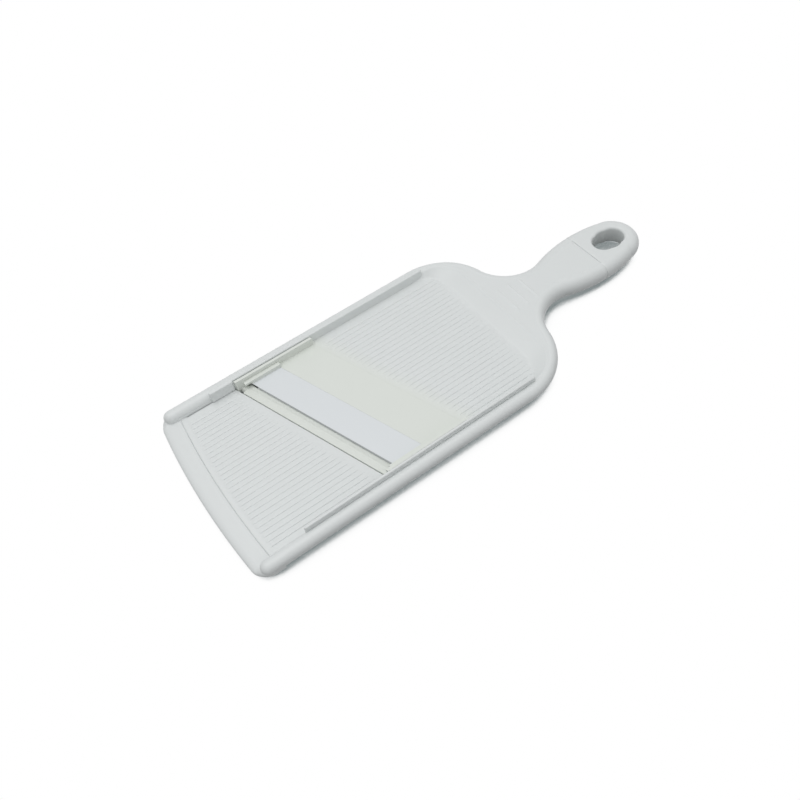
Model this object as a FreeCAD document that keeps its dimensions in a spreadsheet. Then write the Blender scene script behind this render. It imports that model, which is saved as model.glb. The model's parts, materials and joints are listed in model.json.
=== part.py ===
"""Hand slicer with a slanted ceramic blade and a four-sided thickness bar.

X runs along the board with the handle at +X, +Y is the thumb wheel's side and Z is up.
Lengths are millimetres. The blade group is drawn in its own frame, turned about Z by
the blade angle, with its Y along the thickness bar.
"""

import FreeCAD, Part

import math
import os

import Sketcher

from FreeCAD import Placement, Rotation, Vector

os.makedirs("parts", exist_ok=True)
doc = FreeCAD.newDocument("Slicer")

# Driving dimensions
SIZES = [
    ("front_x", -165.0),
    ("tip_x", 165.0),
    ("board_width", 130.0),
    ("front_radius", 540.0),
    ("front_corner", 11.0),
    ("side_end_x", 24.0),
    ("shoulder_radius", 40.0),
    ("neck_radius", 25.0),
    ("grip_radius", 95.0),
    ("grip_width", 41.4),
    ("grip_to_tip", 39.2),
    ("grip_top", 17.0),
    ("grip_bottom", 4.0),
    ("grip_round", 6.0),
    ("rim_diameter", 8.8),
    ("rim_z", 10.9),
    ("rim_setback", 6.8),
    ("deck_top", 11.2),
    ("deck_thick", 2.4),
    ("recess_rear_x", 49.5),
    ("recess_ramp", 10.0),
    ("recess_corner", 19.0),
    ("neck_start_x", 24.0),
    ("neck_rise_x", 44.0),
    ("neck_full_x", 64.0),
    ("neck_rise", 0.5),
    ("bar_top_z", 9.6),
    ("bar_bottom_z", 4.9),
    ("bar_round", 2.2),
    ("corner_rear_x", -146.0),
    ("rail_top", 18.0),
    ("rail_thick", 1.8),
    ("rail_inset", 9.2),
    ("rail_front_x", -128.0),
    ("rail_rear_x", 30.9),
    ("skirt_inset", 9.0),
    ("skirt_thick", 2.2),
    ("skirt_bottom", 1.2),
    ("skirt_front_x", -151.0),
    ("skirt_rear_x", 36.0),
    ("hang_hole_x", 143.3),
    ("hang_hole_long", 23.0),
    ("hang_hole_wide", 14.6),
    ("hang_hole_round", 1.4),
    ("plate_front_x", -152.8),
    ("plate_front_radius", 560.0),
    ("plate_top", 9.3),
    ("plate_thick", 1.8),
    ("plate_side_gap", 0.3),
    ("ledge_width", 5.0),
    ("ledge_thick", 2.2),
    ("blade_angle", 19.5),
    ("axis_x", -87.5),
    ("axis_z", 6.5),
    ("edge_rise", 4.8),
    ("blade_width", 19.0),
    ("blade_thick", 1.2),
    ("bevel_width", 3.0),
    ("edge_land", 0.1),
    ("thick_cut", 2.0),
    ("medium_cut", 1.5),
    ("fine_cut", 1.0),
    ("finest_cut", 0.5),
    ("bar_end_gap", 0.8),
    ("plate_to_bar", 0.4),
    ("section_round", 0.6),
    ("sweep_gap", 0.3),
    ("journal_diameter", 6.0),
    ("journal_snap", 5.4),
    ("journal_stub", 0.4),
    ("running_gap", 0.05),
    ("cassette_side_gap", 0.4),
    ("side_plate_thick", 1.8),
    ("side_plate_top", 16.8),
    ("side_plate_bottom", 2.0),
    ("land_end", 47.5),
    ("seat_front", 13.5),
    ("flange_depth", 6.0),
    ("flange_thick", 2.2),
    ("clamp_width", 2.6),
    ("clamp_foot_width", 1.8),
    ("clamp_height", 2.7),
    ("clamp_front", -0.5),
    ("clamp_rear", 23.1),
    ("clamp_foot", 1.5),
    ("nose_gap", 0.5),
    ("peg_diameter", 1.0),
    ("wheel_radius", 5.6),
    ("wheel_inset", 6.4),
    ("wheel_bore", 2.4),
    ("wheel_thick", 4.4),
    ("wheel_web", 1.0),
    ("flute_radius", 0.7),
    ("wheel_gap", 0.6),
    ("leaf_thick", 0.45),
    ("leaf_width", 3.6),
    ("leaf_reach", 9.0),
    ("leaf_drop", 2.9),
    ("ridge_start_x", 57.8),
    ("ridge_pitch", 8.15),
    ("ridge_width", 0.9),
    ("ridge_length", 21.2),
    ("ridge_height", 0.3),
    ("cavity_width", 22.0),
    ("cavity_start_x", 76.0),
    ("cavity_roof", 2.6),
    ("hollow_roof", 3.4),
    ("hollow_wall", 4.0),
    ("split_x", 124.0),
    ("split_gap", 0.35),
    ("spigot_length", 12.0),
    ("cover_thick", 2.0),
    ("boss_radius", 3.0),
    ("foot_length", 9.0),
    ("foot_width", 6.0),
    ("foot_thick", 1.2),
    ("foot_front_x", -152.5),
    ("foot_rear_x", 24.0),
    ("screw_diameter", 2.2),
    ("screw_head", 4.4),
    ("screw_head_thick", 1.3),
    ("fit_gap", 0.1),
    ("seat_gap", 0.3),
]

FLUTES = 12
RIDGES = 3

sheet = doc.addObject("Spreadsheet::Sheet", "Sizes")
for row, (alias, number) in enumerate(SIZES, start=1):
    sheet.set(f"A{row}", alias)
    sheet.set(f"B{row}", str(number))
    sheet.setAlias(f"B{row}", alias)
doc.recompute()


class Size:
    """A number kept with the sheet expression that gives it."""

    def __init__(self, value, text):
        self.value = value
        self.text = text

    def __add__(self, other):
        other = as_size(other)
        return Size(self.value + other.value, f"({self.text} + {other.text})")

    def __sub__(self, other):
        other = as_size(other)
        return Size(self.value - other.value, f"({self.text} - {other.text})")

    def __mul__(self, other):
        other = as_size(other)
        return Size(self.value * other.value, f"({self.text} * {other.text})")

    def __truediv__(self, other):
        other = as_size(other)
        return Size(self.value / other.value, f"({self.text} / {other.text})")

    def __neg__(self):
        return Size(-self.value, f"(0 - {self.text})")


def as_size(amount):
    """Plain numbers join in as constants."""
    if isinstance(amount, Size):
        return amount
    return Size(float(amount), repr(float(amount)))


def size(alias):
    """The sheet's cell with this alias."""
    return Size(float(sheet.get(alias)), f"Sizes.{alias}")


def cosine(angle):
    return Size(math.cos(math.radians(angle.value)), f"cos({angle.text})")


def tangent(angle):
    return Size(math.tan(math.radians(angle.value)), f"tan({angle.text})")


def root(amount):
    return Size(math.sqrt(amount.value), f"sqrt({amount.text})")


def value(alias):
    return float(sheet.get(alias))


def bind(item, name, amount):
    """Tie a property to the sheet."""
    item.setExpression(name, as_size(amount).text)


def place(item, x, y, z):
    """Tie a position to the sheet, keeping the rotation."""
    for axis, amount in zip("xyz", (x, y, z)):
        bind(item, f"Placement.Base.{axis}", amount)


# Small makers for bound shapes

def box(name, x_range, y_range, z_range):
    """A box between bound limits."""
    item = doc.addObject("Part::Box", name)
    for prop, limits in zip(("Length", "Width", "Height"), (x_range, y_range, z_range)):
        bind(item, prop, as_size(limits[1]) - limits[0])
    place(item, x_range[0], y_range[0], z_range[0])
    return item


def cylinder(name, radius, x, y, z_range):
    """An upright cylinder between bound heights."""
    item = doc.addObject("Part::Cylinder", name)
    bind(item, "Radius", radius)
    bind(item, "Height", as_size(z_range[1]) - z_range[0])
    place(item, x, y, z_range[0])
    return item


def rod(name, radius, along, z):
    """A cylinder along the thickness bar's axis, in the blade frame."""
    item = doc.addObject("Part::Cylinder", name)
    item.Placement = Placement(Vector(), Rotation(Vector(1, 0, 0), -90))
    bind(item, "Radius", radius)
    bind(item, "Height", as_size(along[1]) - along[0])
    place(item, 0, along[0], z)
    return item


def fuse(name, *items):
    item = doc.addObject("Part::MultiFuse", name)
    item.Shapes = list(items)
    item.Refine = True
    return item


def common(name, *items):
    item = doc.addObject("Part::MultiCommon", name)
    item.Shapes = list(items)
    return item


def cut(name, base, *tools):
    """Take one or more tools away from the base."""
    item = doc.addObject("Part::Cut", name)
    item.Base = base
    if len(tools) == 1:
        item.Tool = tools[0]
    else:
        item.Tool = fuse(name + "_tools", *tools)
    item.Refine = True
    return item


def in_blade_frame(name, *items):
    """Turn shapes drawn in the blade frame into the board, as one shape."""
    if len(items) == 1:
        item = doc.addObject("Part::Compound", name)
        item.Links = list(items)
    else:
        item = fuse(name, *items)
    to_blade_frame(item)
    place(item, size("axis_x"), 0, 0)
    return item


def to_blade_frame(item):
    """Turn an object about Z by the blade angle."""
    item.Placement = Placement(Vector(), Rotation(Vector(0, 0, 1), value("blade_angle")))
    bind(item, "Placement.Rotation.Angle", size("blade_angle"))


def draw_polygon(sketch, points):
    """Close a polygon whose corners are tied to the sheet."""
    corners = [Vector(as_size(x).value, as_size(y).value, 0) for x, y in points]
    for i, corner in enumerate(corners):
        sketch.addGeometry(Part.LineSegment(corner, corners[(i + 1) % len(corners)]))
    for i in range(len(corners)):
        sketch.addConstraint(Sketcher.Constraint("Coincident", i, 2, (i + 1) % len(corners), 1))
    for i, (x, y) in enumerate(points):
        for kind, amount in (("DistanceX", x), ("DistanceY", y)):
            amount = as_size(amount)
            index = sketch.addConstraint(Sketcher.Constraint(kind, -1, 1, i, 1, amount.value))
            sketch.setExpression(f"Constraints[{index}]", amount.text)


def prism(name, points, z_range):
    """A plan polygon drawn up between two heights."""
    sketch = doc.addObject("Sketcher::SketchObject", name + "_plan")
    draw_polygon(sketch, points)
    place(sketch, 0, 0, z_range[0])
    item = doc.addObject("Part::Extrusion", name)
    item.Base = sketch
    item.DirMode = "Custom"
    item.Dir = Vector(0, 0, 1)
    item.Solid = True
    bind(item, "LengthFwd", as_size(z_range[1]) - z_range[0])
    return item


def profile(name, points, y_range):
    """A side polygon in X and Z drawn along Y between two limits."""
    sketch = doc.addObject("Sketcher::SketchObject", name + "_side")
    sketch.Placement = Placement(Vector(), Rotation(Vector(1, 0, 0), 90))
    draw_polygon(sketch, points)
    place(sketch, 0, y_range[0], 0)
    item = doc.addObject("Part::Extrusion", name)
    item.Base = sketch
    item.DirMode = "Custom"
    item.Dir = Vector(0, 1, 0)
    item.Solid = True
    bind(item, "LengthFwd", as_size(y_range[1]) - y_range[0])
    return item


def shaped(name, shape):
    """A form that only Part's own functions make, from values read off the sheet."""
    item = doc.addObject("Part::Feature", name)
    item.Shape = shape
    return item


def screw(name, x, y, head_z, tip_z):
    """A screw driven up from below: a flat head under a plain shank."""
    head_z = as_size(head_z)
    head_zs = (head_z - size("screw_head_thick"), head_z)
    head = cylinder(name + "_head", size("screw_head") / 2, x, y, head_zs)
    shank_zs = (head_z - size("screw_head_thick") / 2, tip_z)
    shank = cylinder(name + "_shank", size("screw_diameter") / 2, x, y, shank_zs)
    return fuse(name, head, shank)


def screw_hole(name, x, y, z_range):
    """The hole that a screw's shank sits in."""
    return cylinder(name, size("screw_diameter") / 2 + size("fit_gap") / 2, x, y, z_range)


def group(label, items):
    item = doc.addObject("Part::Compound", label)
    item.Links = items
    return item


nodes = []


def node(label, item):
    """Name a finished piece."""
    item.Label = label
    nodes.append(item)
    return item


# Sizes that several pieces share
fit_gap = size("fit_gap")
seat_gap = size("seat_gap")
half_board = size("board_width") / 2
rim_radius = size("rim_diameter") / 2
deck_under = size("deck_top") - size("deck_thick")
rail_inner = half_board - size("rail_inset")
skirt_in = half_board - size("skirt_inset")
skirt_out = skirt_in + size("skirt_thick")
skirt_start_x = size("skirt_front_x") + size("skirt_thick")
half_plate = rail_inner - size("plate_side_gap")
plate_under = size("plate_top") - size("plate_thick")
ledge_in = skirt_in - size("ledge_width")
half_cassette = rail_inner - size("cassette_side_gap")
plate_in = half_cassette - size("side_plate_thick")
half_blade = plate_in - size("clamp_foot_width")
half_cavity = size("cavity_width") / 2
cavity_top = size("grip_top") - size("cavity_roof")
spigot_start_x = size("split_x") - size("spigot_length")
cover_top = size("grip_bottom") + size("cover_thick")
slant = tangent(size("blade_angle"))
upright = cosine(size("blade_angle"))
lean = slant * upright

# The bar's four faces lie a cut's thickness below the edge when each is on top
edge_z = size("axis_z") + size("edge_rise")
blade_under = edge_z - size("blade_thick")
face_top = size("edge_rise") - size("thick_cut")
face_rear = size("edge_rise") - size("medium_cut")
face_bottom = size("edge_rise") - size("fine_cut")
face_front = size("edge_rise") - size("finest_cut")

# Its lower front corner sweeps the largest circle, which the plate and the edge keep clear of
corner_run = face_front - size("section_round")
corner_drop = face_bottom - size("section_round")
sweep = root(corner_run * corner_run + corner_drop * corner_drop) + size("section_round")
clear_sweep = sweep + size("sweep_gap")
edge_back = root(clear_sweep * clear_sweep - size("edge_rise") * size("edge_rise"))
blade_back = edge_back + size("blade_width")
plate_rear = -(face_front + size("plate_to_bar"))

# Along its axis the bar ends inside the side plates, and its left journal carries the wheel
half_section = (plate_in - size("bar_end_gap")) / upright - face_front * slant
journal_right = half_cassette / upright + size("journal_stub")
wheel_start = (half_board - size("wheel_inset")) / upright
wheel_end = wheel_start + size("wheel_thick")
journal_left = wheel_start + size("wheel_bore")


def slant_x(v, y):
    """Board X of the point v behind the bar's axis at board Y."""
    return size("axis_x") + as_size(v) / upright - as_size(y) * slant


def slant_strip(name, v_range, y_range, z_range):
    """A strip beside the blade: ends along X, long sides along the blade."""
    points = [
        (slant_x(v_range[0], y_range[0]), y_range[0]),
        (slant_x(v_range[1], y_range[0]), y_range[0]),
        (slant_x(v_range[1], y_range[1]), y_range[1]),
        (slant_x(v_range[0], y_range[1]), y_range[1]),
    ]
    return prism(name, points, z_range)


def both_sides(inner, outer):
    """Left and right names with the Y limits of a pair of mirrored pieces."""
    return [("left", (inner, outer)), ("right", (-outer, -inner))]


# Board outline

def toward(start, end, distance):
    """The point at a distance from start on the way to end."""
    return start + (end - start).normalize() * distance


def outline_circles():
    """Centres and radii of the arcs along the upper half, front to tip."""
    half = value("board_width") / 2
    front_r = value("front_radius")
    corner_r = value("front_corner")
    front = Vector(value("front_x") + front_r, 0, 0)
    reach = math.sqrt((front_r - corner_r) ** 2 - (half - corner_r) ** 2)
    corner = Vector(front.x - reach, half - corner_r, 0)
    shoulder_r = value("shoulder_radius")
    shoulder = Vector(value("side_end_x"), half - shoulder_r, 0)
    grip_r = value("grip_radius")
    grip = Vector(value("tip_x") - value("grip_to_tip"), value("grip_width") / 2 - grip_r, 0)
    run = value("grip_to_tip")
    end_r = (grip_r ** 2 - run ** 2 - grip.y ** 2) / (2 * (grip_r - run))
    end = Vector(value("tip_x") - end_r, 0, 0)
    neck_r = value("neck_radius")
    span = (grip - shoulder).Length
    to_neck = shoulder_r + neck_r
    along = (to_neck ** 2 - (grip_r + neck_r) ** 2 + span ** 2) / (2 * span)
    aside = math.sqrt(to_neck ** 2 - along ** 2)
    ahead = (grip - shoulder).normalize()
    neck = shoulder + ahead * along + Vector(-ahead.y, ahead.x, 0) * aside
    return {
        "front": (front, front_r), "corner": (corner, corner_r), "shoulder": (shoulder, shoulder_r),
        "neck": (neck, neck_r), "grip": (grip, grip_r), "end": (end, end_r),
    }


def outline_points(inset):
    """Where the arcs meet, drawn in from the outside by an inset."""
    c = {name: centre for name, (centre, radius) in outline_circles().items()}
    r = {name: radius - inset for name, (centre, radius) in outline_circles().items()}
    r["neck"] = outline_circles()["neck"][1] + inset
    return c, r, [
        toward(c["front"], c["corner"], r["front"]),
        c["corner"] + Vector(0, r["corner"], 0),
        c["shoulder"] + Vector(0, r["shoulder"], 0),
        toward(c["shoulder"], c["neck"], r["shoulder"]),
        toward(c["neck"], c["grip"], r["neck"]),
        toward(c["grip"], c["end"], r["grip"]),
    ]


def arc(start, end, centre, radius):
    """The shorter arc between two points of a circle."""
    middle = toward(centre, (start + end) * 0.5, radius)
    return Part.Arc(start, middle, end).toShape()


def mirrored(point):
    return Vector(point.x, -point.y, point.z)


def outline_face(inset):
    """The whole outline as a flat face at height 0."""
    c, r, p = outline_points(inset)
    upper = [
        arc(p[0], p[1], c["corner"], r["corner"]),
        Part.LineSegment(p[1], p[2]).toShape(),
        arc(p[2], p[3], c["shoulder"], r["shoulder"]),
        arc(p[3], p[4], c["neck"], r["neck"]),
        arc(p[4], p[5], c["grip"], r["grip"]),
    ]
    lower = [edge.mirror(Vector(0, 0, 0), Vector(0, 1, 0)) for edge in upper]
    front = Part.Arc(p[0], c["front"] - Vector(r["front"], 0, 0), mirrored(p[0])).toShape()
    tip = Part.Arc(p[5], c["end"] + Vector(r["end"], 0, 0), mirrored(p[5])).toShape()
    return Part.Face(Part.Wire(Part.__sortEdges__([front] + upper + lower + [tip])))


def slab(inset, low, high, rounding):
    """The outline between two heights, with its upper and lower edges rounded."""
    solid = outline_face(inset)
    solid.translate(Vector(0, 0, low))
    solid = solid.extrude(Vector(0, 0, high - low))
    if rounding == 0:
        return solid
    edges = [e for e in solid.Edges if abs(e.BoundBox.ZLength) < 1e-6]
    return solid.makeFillet(rounding, edges)


def side_rim():
    """The round rim of the upper side, from its domed front end into the neck."""
    radius = value("rim_diameter") / 2
    c, r, p = outline_points(radius)
    start = Vector(value("front_x") + value("rim_setback") + radius, p[1].y, 0)
    path = Part.Wire([
        Part.LineSegment(start, p[2]).toShape(),
        arc(p[2], p[3], c["shoulder"], r["shoulder"]),
        arc(p[3], p[4], c["neck"], r["neck"]),
    ])
    ring = Part.Wire(Part.Circle(start, Vector(1, 0, 0), radius).toShape())
    tube = path.makePipeShell([ring], True, False)
    dome = Part.makeSphere(radius, start)
    return tube.fuse(dome).removeSplitter()


def recess():
    """The tray's rear end, whose walls lean back from the deck to the neck."""
    ramp = value("recess_ramp")
    corner_top = value("recess_corner")
    front = value("rail_rear_x") - corner_top
    half = value("board_width") / 2 - value("rim_diameter")
    rear_foot = value("recess_rear_x") - ramp
    rise = value("grip_top") - value("deck_top")
    lift = rise + value("seat_gap") * 3
    rear_top = rear_foot + ramp * lift / rise
    wires = []
    for height, rear, corner in (
        (value("deck_top"), rear_foot, corner_top - ramp / 2),
        (value("deck_top") + lift, rear_top, corner_top),
    ):
        flank = Vector(rear - corner, half, height)
        turn = Vector(rear, half - corner, height)
        centre = Vector(rear - corner, half - corner, height)
        head = Vector(front, half, height)
        wires.append(Part.Wire([
            Part.LineSegment(head, flank).toShape(),
            arc(flank, turn, centre, corner),
            Part.LineSegment(turn, mirrored(turn)).toShape(),
            arc(mirrored(turn), mirrored(flank), mirrored(centre), corner),
            Part.LineSegment(mirrored(flank), mirrored(head)).toShape(),
            Part.LineSegment(mirrored(head), head).toShape(),
        ]))
    return Part.makeLoft(wires, True, True)


def plate_outline(inset):
    """The front plate's plan: bowed front edge, slanted rear edge."""
    half = half_plate.value + inset
    radius = value("plate_front_radius") + inset
    front = value("plate_front_x") - inset
    bow = front + radius - math.sqrt(radius ** 2 - half ** 2)
    rear = plate_rear.value + inset
    corners = [Vector(bow, -half, 0), Vector(bow, half, 0)]
    slanted = [Vector(slant_x(rear, y).value, y, 0) for y in (half, -half)]
    edges = [
        Part.Arc(corners[0], Vector(front, 0, 0), corners[1]).toShape(),
        Part.LineSegment(corners[1], slanted[0]).toShape(),
        Part.LineSegment(slanted[0], slanted[1]).toShape(),
        Part.LineSegment(slanted[1], corners[0]).toShape(),
    ]
    return Part.Face(Part.Wire(edges))


def raised(face, low, high):
    """A face lifted to one height and drawn up to another."""
    face.translate(Vector(0, 0, low))
    return face.extrude(Vector(0, 0, high - low))


# Body

def make_body():
    """The white moulding: rims, deck, neck, grip, front bar, rails and underside walls."""
    rim = side_rim()
    rim.translate(Vector(0, 0, value("rim_z")))
    left_rim = shaped("left_rim", rim)
    right_rim = doc.addObject("Part::Mirroring", "right_rim")
    right_rim.Source = left_rim
    right_rim.Normal = Vector(0, 1, 0)
    across = (-half_board, half_board)
    full_height = (0, size("rail_top"))

    deck = common(
        "deck",
        shaped("deck_slab", slab(value("rim_diameter") / 2, deck_under.value, value("deck_top"), 0)),
        box("deck_keep", (size("skirt_front_x"), size("neck_full_x")), across, full_height),
    )
    rim_top = size("rim_z") + rim_radius
    side_view = [
        (size("neck_start_x"), size("rim_z") - rim_radius),
        (size("neck_start_x"), rim_top),
        (size("neck_rise_x"), rim_top + size("neck_rise")),
        (size("neck_full_x"), size("grip_top") + fit_gap),
        (size("split_x"), size("grip_top") + fit_gap),
        (size("split_x"), size("grip_bottom") - fit_gap),
        (size("neck_full_x"), size("grip_bottom") - fit_gap),
    ]
    grip = common("grip", grip_slab("grip_slab"), profile("grip_keep", side_view, across))
    front = common(
        "front_bar",
        shaped("bar_slab", slab(0, value("bar_bottom_z"), value("bar_top_z"), value("bar_round"))),
        box("bar_keep", (size("front_x"), size("corner_rear_x")), across, full_height),
    )
    half_ridge = size("ridge_length") / 2
    ridge_zs = (cavity_top, size("grip_top") + size("ridge_height"))
    ridges = []
    for i in range(RIDGES):
        start = size("ridge_start_x") + size("ridge_pitch") * i
        ridge_xs = (start, start + size("ridge_width"))
        ridges.append(box(f"neck_ridge_{i}", ridge_xs, (-half_ridge, half_ridge), ridge_zs))
    rail_xs = (size("rail_front_x"), size("rail_rear_x"))
    rail_zs = (deck_under, size("rail_top"))
    rails = [
        box(f"{side}_rail", rail_xs, limits, rail_zs)
        for side, limits in both_sides(rail_inner, rail_inner + size("rail_thick"))
    ]
    skirt_xs = (size("skirt_front_x"), size("skirt_rear_x"))
    skirt_hollow = (skirt_start_x, size("skirt_rear_x") - size("skirt_thick"))
    skirt = cut(
        "skirt",
        box("skirt_out", skirt_xs, (-skirt_out, skirt_out), (size("skirt_bottom"), size("rim_z"))),
        box("skirt_in", skirt_hollow, (-skirt_in, skirt_in), full_height),
    )
    shell = fuse("shell", left_rim, right_rim, deck, grip, front, *rails, *ridges, skirt, *foot_blocks())
    opened = cut("opened", shell, *body_openings())
    carried = fuse("carried", opened, *body_seats())
    return cut("body_moulding", carried, *body_holes())


def grip_slab(name):
    """The whole outline at the grip's thickness, with round edges."""
    return shaped(name, slab(0, value("grip_bottom"), value("grip_top"), value("grip_round")))


def foot_limits():
    """The feet: name, middle X and Y limits, all in line with the outside of the underside wall."""
    sides = both_sides(skirt_out - fit_gap - size("foot_width"), skirt_out - fit_gap)
    ends = (("front", size("foot_front_x")), ("rear", size("foot_rear_x")))
    return [(f"{end}_{side}_foot", x, limits) for end, x in ends for side, limits in sides]


def foot_blocks():
    """Solid corners of the underside wall that the feet are stuck to, clear of the front plate."""
    reach = size("foot_length") / 2 + fit_gap
    tops = {"front": plate_under - size("seat_gap"), "rear": size("rim_z") - fit_gap}
    return [
        box(
            f"{name}_block",
            (x - reach, x + reach),
            (ys[0] - fit_gap, ys[1] + fit_gap),
            (size("foot_thick"), tops[name.split("_")[0]]),
        )
        for name, x, ys in foot_limits()
    ]


def body_openings():
    """What is taken out of the shell for the plate, the cassette, the wheel and the hand."""
    plate_room = raised(plate_outline(value("seat_gap")), plate_under.value, value("rail_top"))
    span = (plate_rear * 2, size("land_end") + seat_gap)
    throat_ys = (-(half_cassette + fit_gap), half_cassette + fit_gap)
    inside = (-skirt_in, skirt_in)
    across = (-half_board, half_board)
    full_height = (0, size("rail_top"))
    throat = slant_strip("throat", span, throat_ys, (deck_under, size("rail_top")))
    under = slant_strip("under", span, inside, (0, deck_under))
    front_xs = (skirt_start_x, size("axis_x"))
    well = box("well", front_xs, inside, (0, plate_under))
    rear_keep = slant_strip("rear_keep", (span[1], span[1] * 4), across, full_height)
    front_room = box("front_room", front_xs, inside, (plate_under, size("deck_top")))
    front_deck = cut("front_deck", front_room, rear_keep)
    hollow_xs = (size("recess_rear_x") + size("hollow_wall"), size("cavity_start_x") - size("hollow_wall"))
    hollow_top = value("grip_top") - value("hollow_roof")
    hollow = common(
        "neck_hollow",
        shaped("hollow_slab", slab(value("rim_diameter"), 0, hollow_top, 0)),
        box("hollow_keep", hollow_xs, across, full_height),
    )
    cavity_xs = (size("cavity_start_x"), size("split_x") + fit_gap)
    cavity = box("cavity", cavity_xs, (-half_cavity, half_cavity), (0, cavity_top))
    return [
        shaped("recess", recess()), shaped("plate_room", plate_room),
        throat, under, well, front_deck, hollow, cavity, wheel_room(),
    ]


def wheel_room():
    """Room under the left rim for the thumb wheel, and both journals' ways in from below."""
    outside = half_board / upright + size("wheel_radius") * 2
    radius = size("wheel_radius") + size("wheel_gap")
    run = (wheel_start - size("wheel_gap"), outside)
    items = [
        rod("wheel_notch", radius, run, size("axis_z")),
        box("wheel_below", (-radius, radius), run, (0, size("axis_z"))),
    ]
    way = size("journal_diameter") / 2 + size("wheel_gap")
    right_end = journal_right + size("wheel_gap")
    for side, limits in (("left", (half_section, outside)), ("right", (-right_end, -half_section))):
        items.append(rod(f"{side}_journal_way", way, limits, size("axis_z")))
        items.append(box(f"{side}_journal_below", (-way, way), limits, (0, size("axis_z"))))
    return in_blade_frame("wheel_room", *items)


def ledge_limits():
    """The front plate's two side ledges: name, X limits and Y limits."""
    room = -clear_sweep - seat_gap * 3
    left, right = both_sides(ledge_in, skirt_in + fit_gap)
    return [
        ("left_ledge", (skirt_start_x, slant_x(room, skirt_in)), left[1]),
        ("right_ledge", (skirt_start_x, slant_x(room, -ledge_in)), right[1]),
    ]


def body_seats():
    """Ledges under the plate, the cassette's flange and rests, the leaf's pad and screw bosses."""
    heights = (plate_under - size("ledge_thick"), plate_under)
    items = [box(name, xs, ys, heights) for name, xs, ys in ledge_limits()]
    front_xs = (skirt_start_x - fit_gap, skirt_start_x + size("ledge_width"))
    items.append(box("front_ledge", front_xs, (-skirt_in, skirt_in), heights))
    flange_vs = (size("land_end") - size("flange_depth"), size("land_end") + size("flange_depth"))
    flange_in = plate_in - seat_gap
    items.append(slant_strip(
        "flange", flange_vs, (-flange_in, flange_in), (deck_under - size("flange_thick"), deck_under)))
    for side, limits in both_sides(plate_in, skirt_in + fit_gap):
        items.append(slant_strip(
            f"{side}_rest", (clear_sweep * 1.6, clear_sweep * 3.3), limits,
            (size("skirt_bottom"), size("side_plate_bottom"))))
    items.append(box("leaf_pad", leaf_run(), leaf_sides(), (leaf_top(), size("rim_z"))))
    boss_zs = (cover_top, cavity_top + fit_gap)
    for i, x in enumerate(cover_screw_xs()):
        items.append(cylinder(f"cover_boss_{i}", size("boss_radius"), x, 0, boss_zs))
    return items


def body_holes():
    """The screws' holes."""
    holes = [
        screw_hole(f"plate_hole_{i}", x, y, (0, plate_under + fit_gap))
        for i, (x, y) in enumerate(plate_screw_spots())
    ]
    holes += [
        screw_hole(f"land_hole_{i}", x, y, (0, deck_under + fit_gap))
        for i, (x, y) in enumerate(cassette_screw_spots())
    ]
    holes += [
        screw_hole(f"cover_hole_{i}", x, 0, (0, cavity_top - size("screw_diameter")))
        for i, x in enumerate(cover_screw_xs())
    ]
    holes.append(screw_hole("end_hole", end_screw_x(), 0, (0, size("grip_top") - size("cavity_roof") / 3)))
    x, y = leaf_screw_spot()
    holes.append(screw_hole("leaf_hole", x, y, (0, size("rim_z"))))
    return holes


# Front plate

def plate_screw_spots():
    """Two screws along each side ledge."""
    spots = []
    for name, xs, ys in ledge_limits():
        y = (ys[0] + ys[1]) / 2
        spots.append((xs[0] + size("ledge_width") + size("screw_head"), y))
        spots.append((xs[1] - size("screw_head"), y))
    return spots


def make_front_plate():
    """The front table, whose rear edge is hollowed to clear the bar's corners."""
    blank = shaped("plate_blank", raised(plate_outline(0), plate_under.value, value("plate_top")))
    path_run = (-half_board * 2, half_board * 2)
    bar_path = in_blade_frame("bar_path", rod("bar_path_rod", clear_sweep, path_run, size("axis_z")))
    tip = size("plate_top") - size("plate_thick") / 3
    holes = [
        screw_hole(f"plate_thread_{i}", x, y, (0, tip))
        for i, (x, y) in enumerate(plate_screw_spots())
    ]
    return cut("front_plate_cut", blank, bar_path, *holes)


def make_plate_screws():
    head = plate_under - size("ledge_thick")
    tip = size("plate_top") - size("plate_thick") / 2
    return group("plate_screw_set", [
        screw(f"plate_screw_{i}", x, y, head, tip) for i, (x, y) in enumerate(plate_screw_spots())
    ])


# Cassette, blade and clamps

def cassette_screw_spots():
    """Four screws along the flange under the landing."""
    v = size("land_end") - size("flange_depth") / 2
    return [(slant_x(v, plate_in * share), plate_in * share) for share in (-0.8, -0.27, 0.27, 0.8)]


def peg_spots():
    """Two pegs under each blade clamp."""
    spots = []
    for sign in (1, -1):
        y = (half_blade + plate_in) / 2 * sign
        for v in (size("seat_front") + size("clamp_foot") * 2, blade_back - size("clamp_foot") * 2):
            spots.append((slant_x(v, y), y))
    return spots


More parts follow.
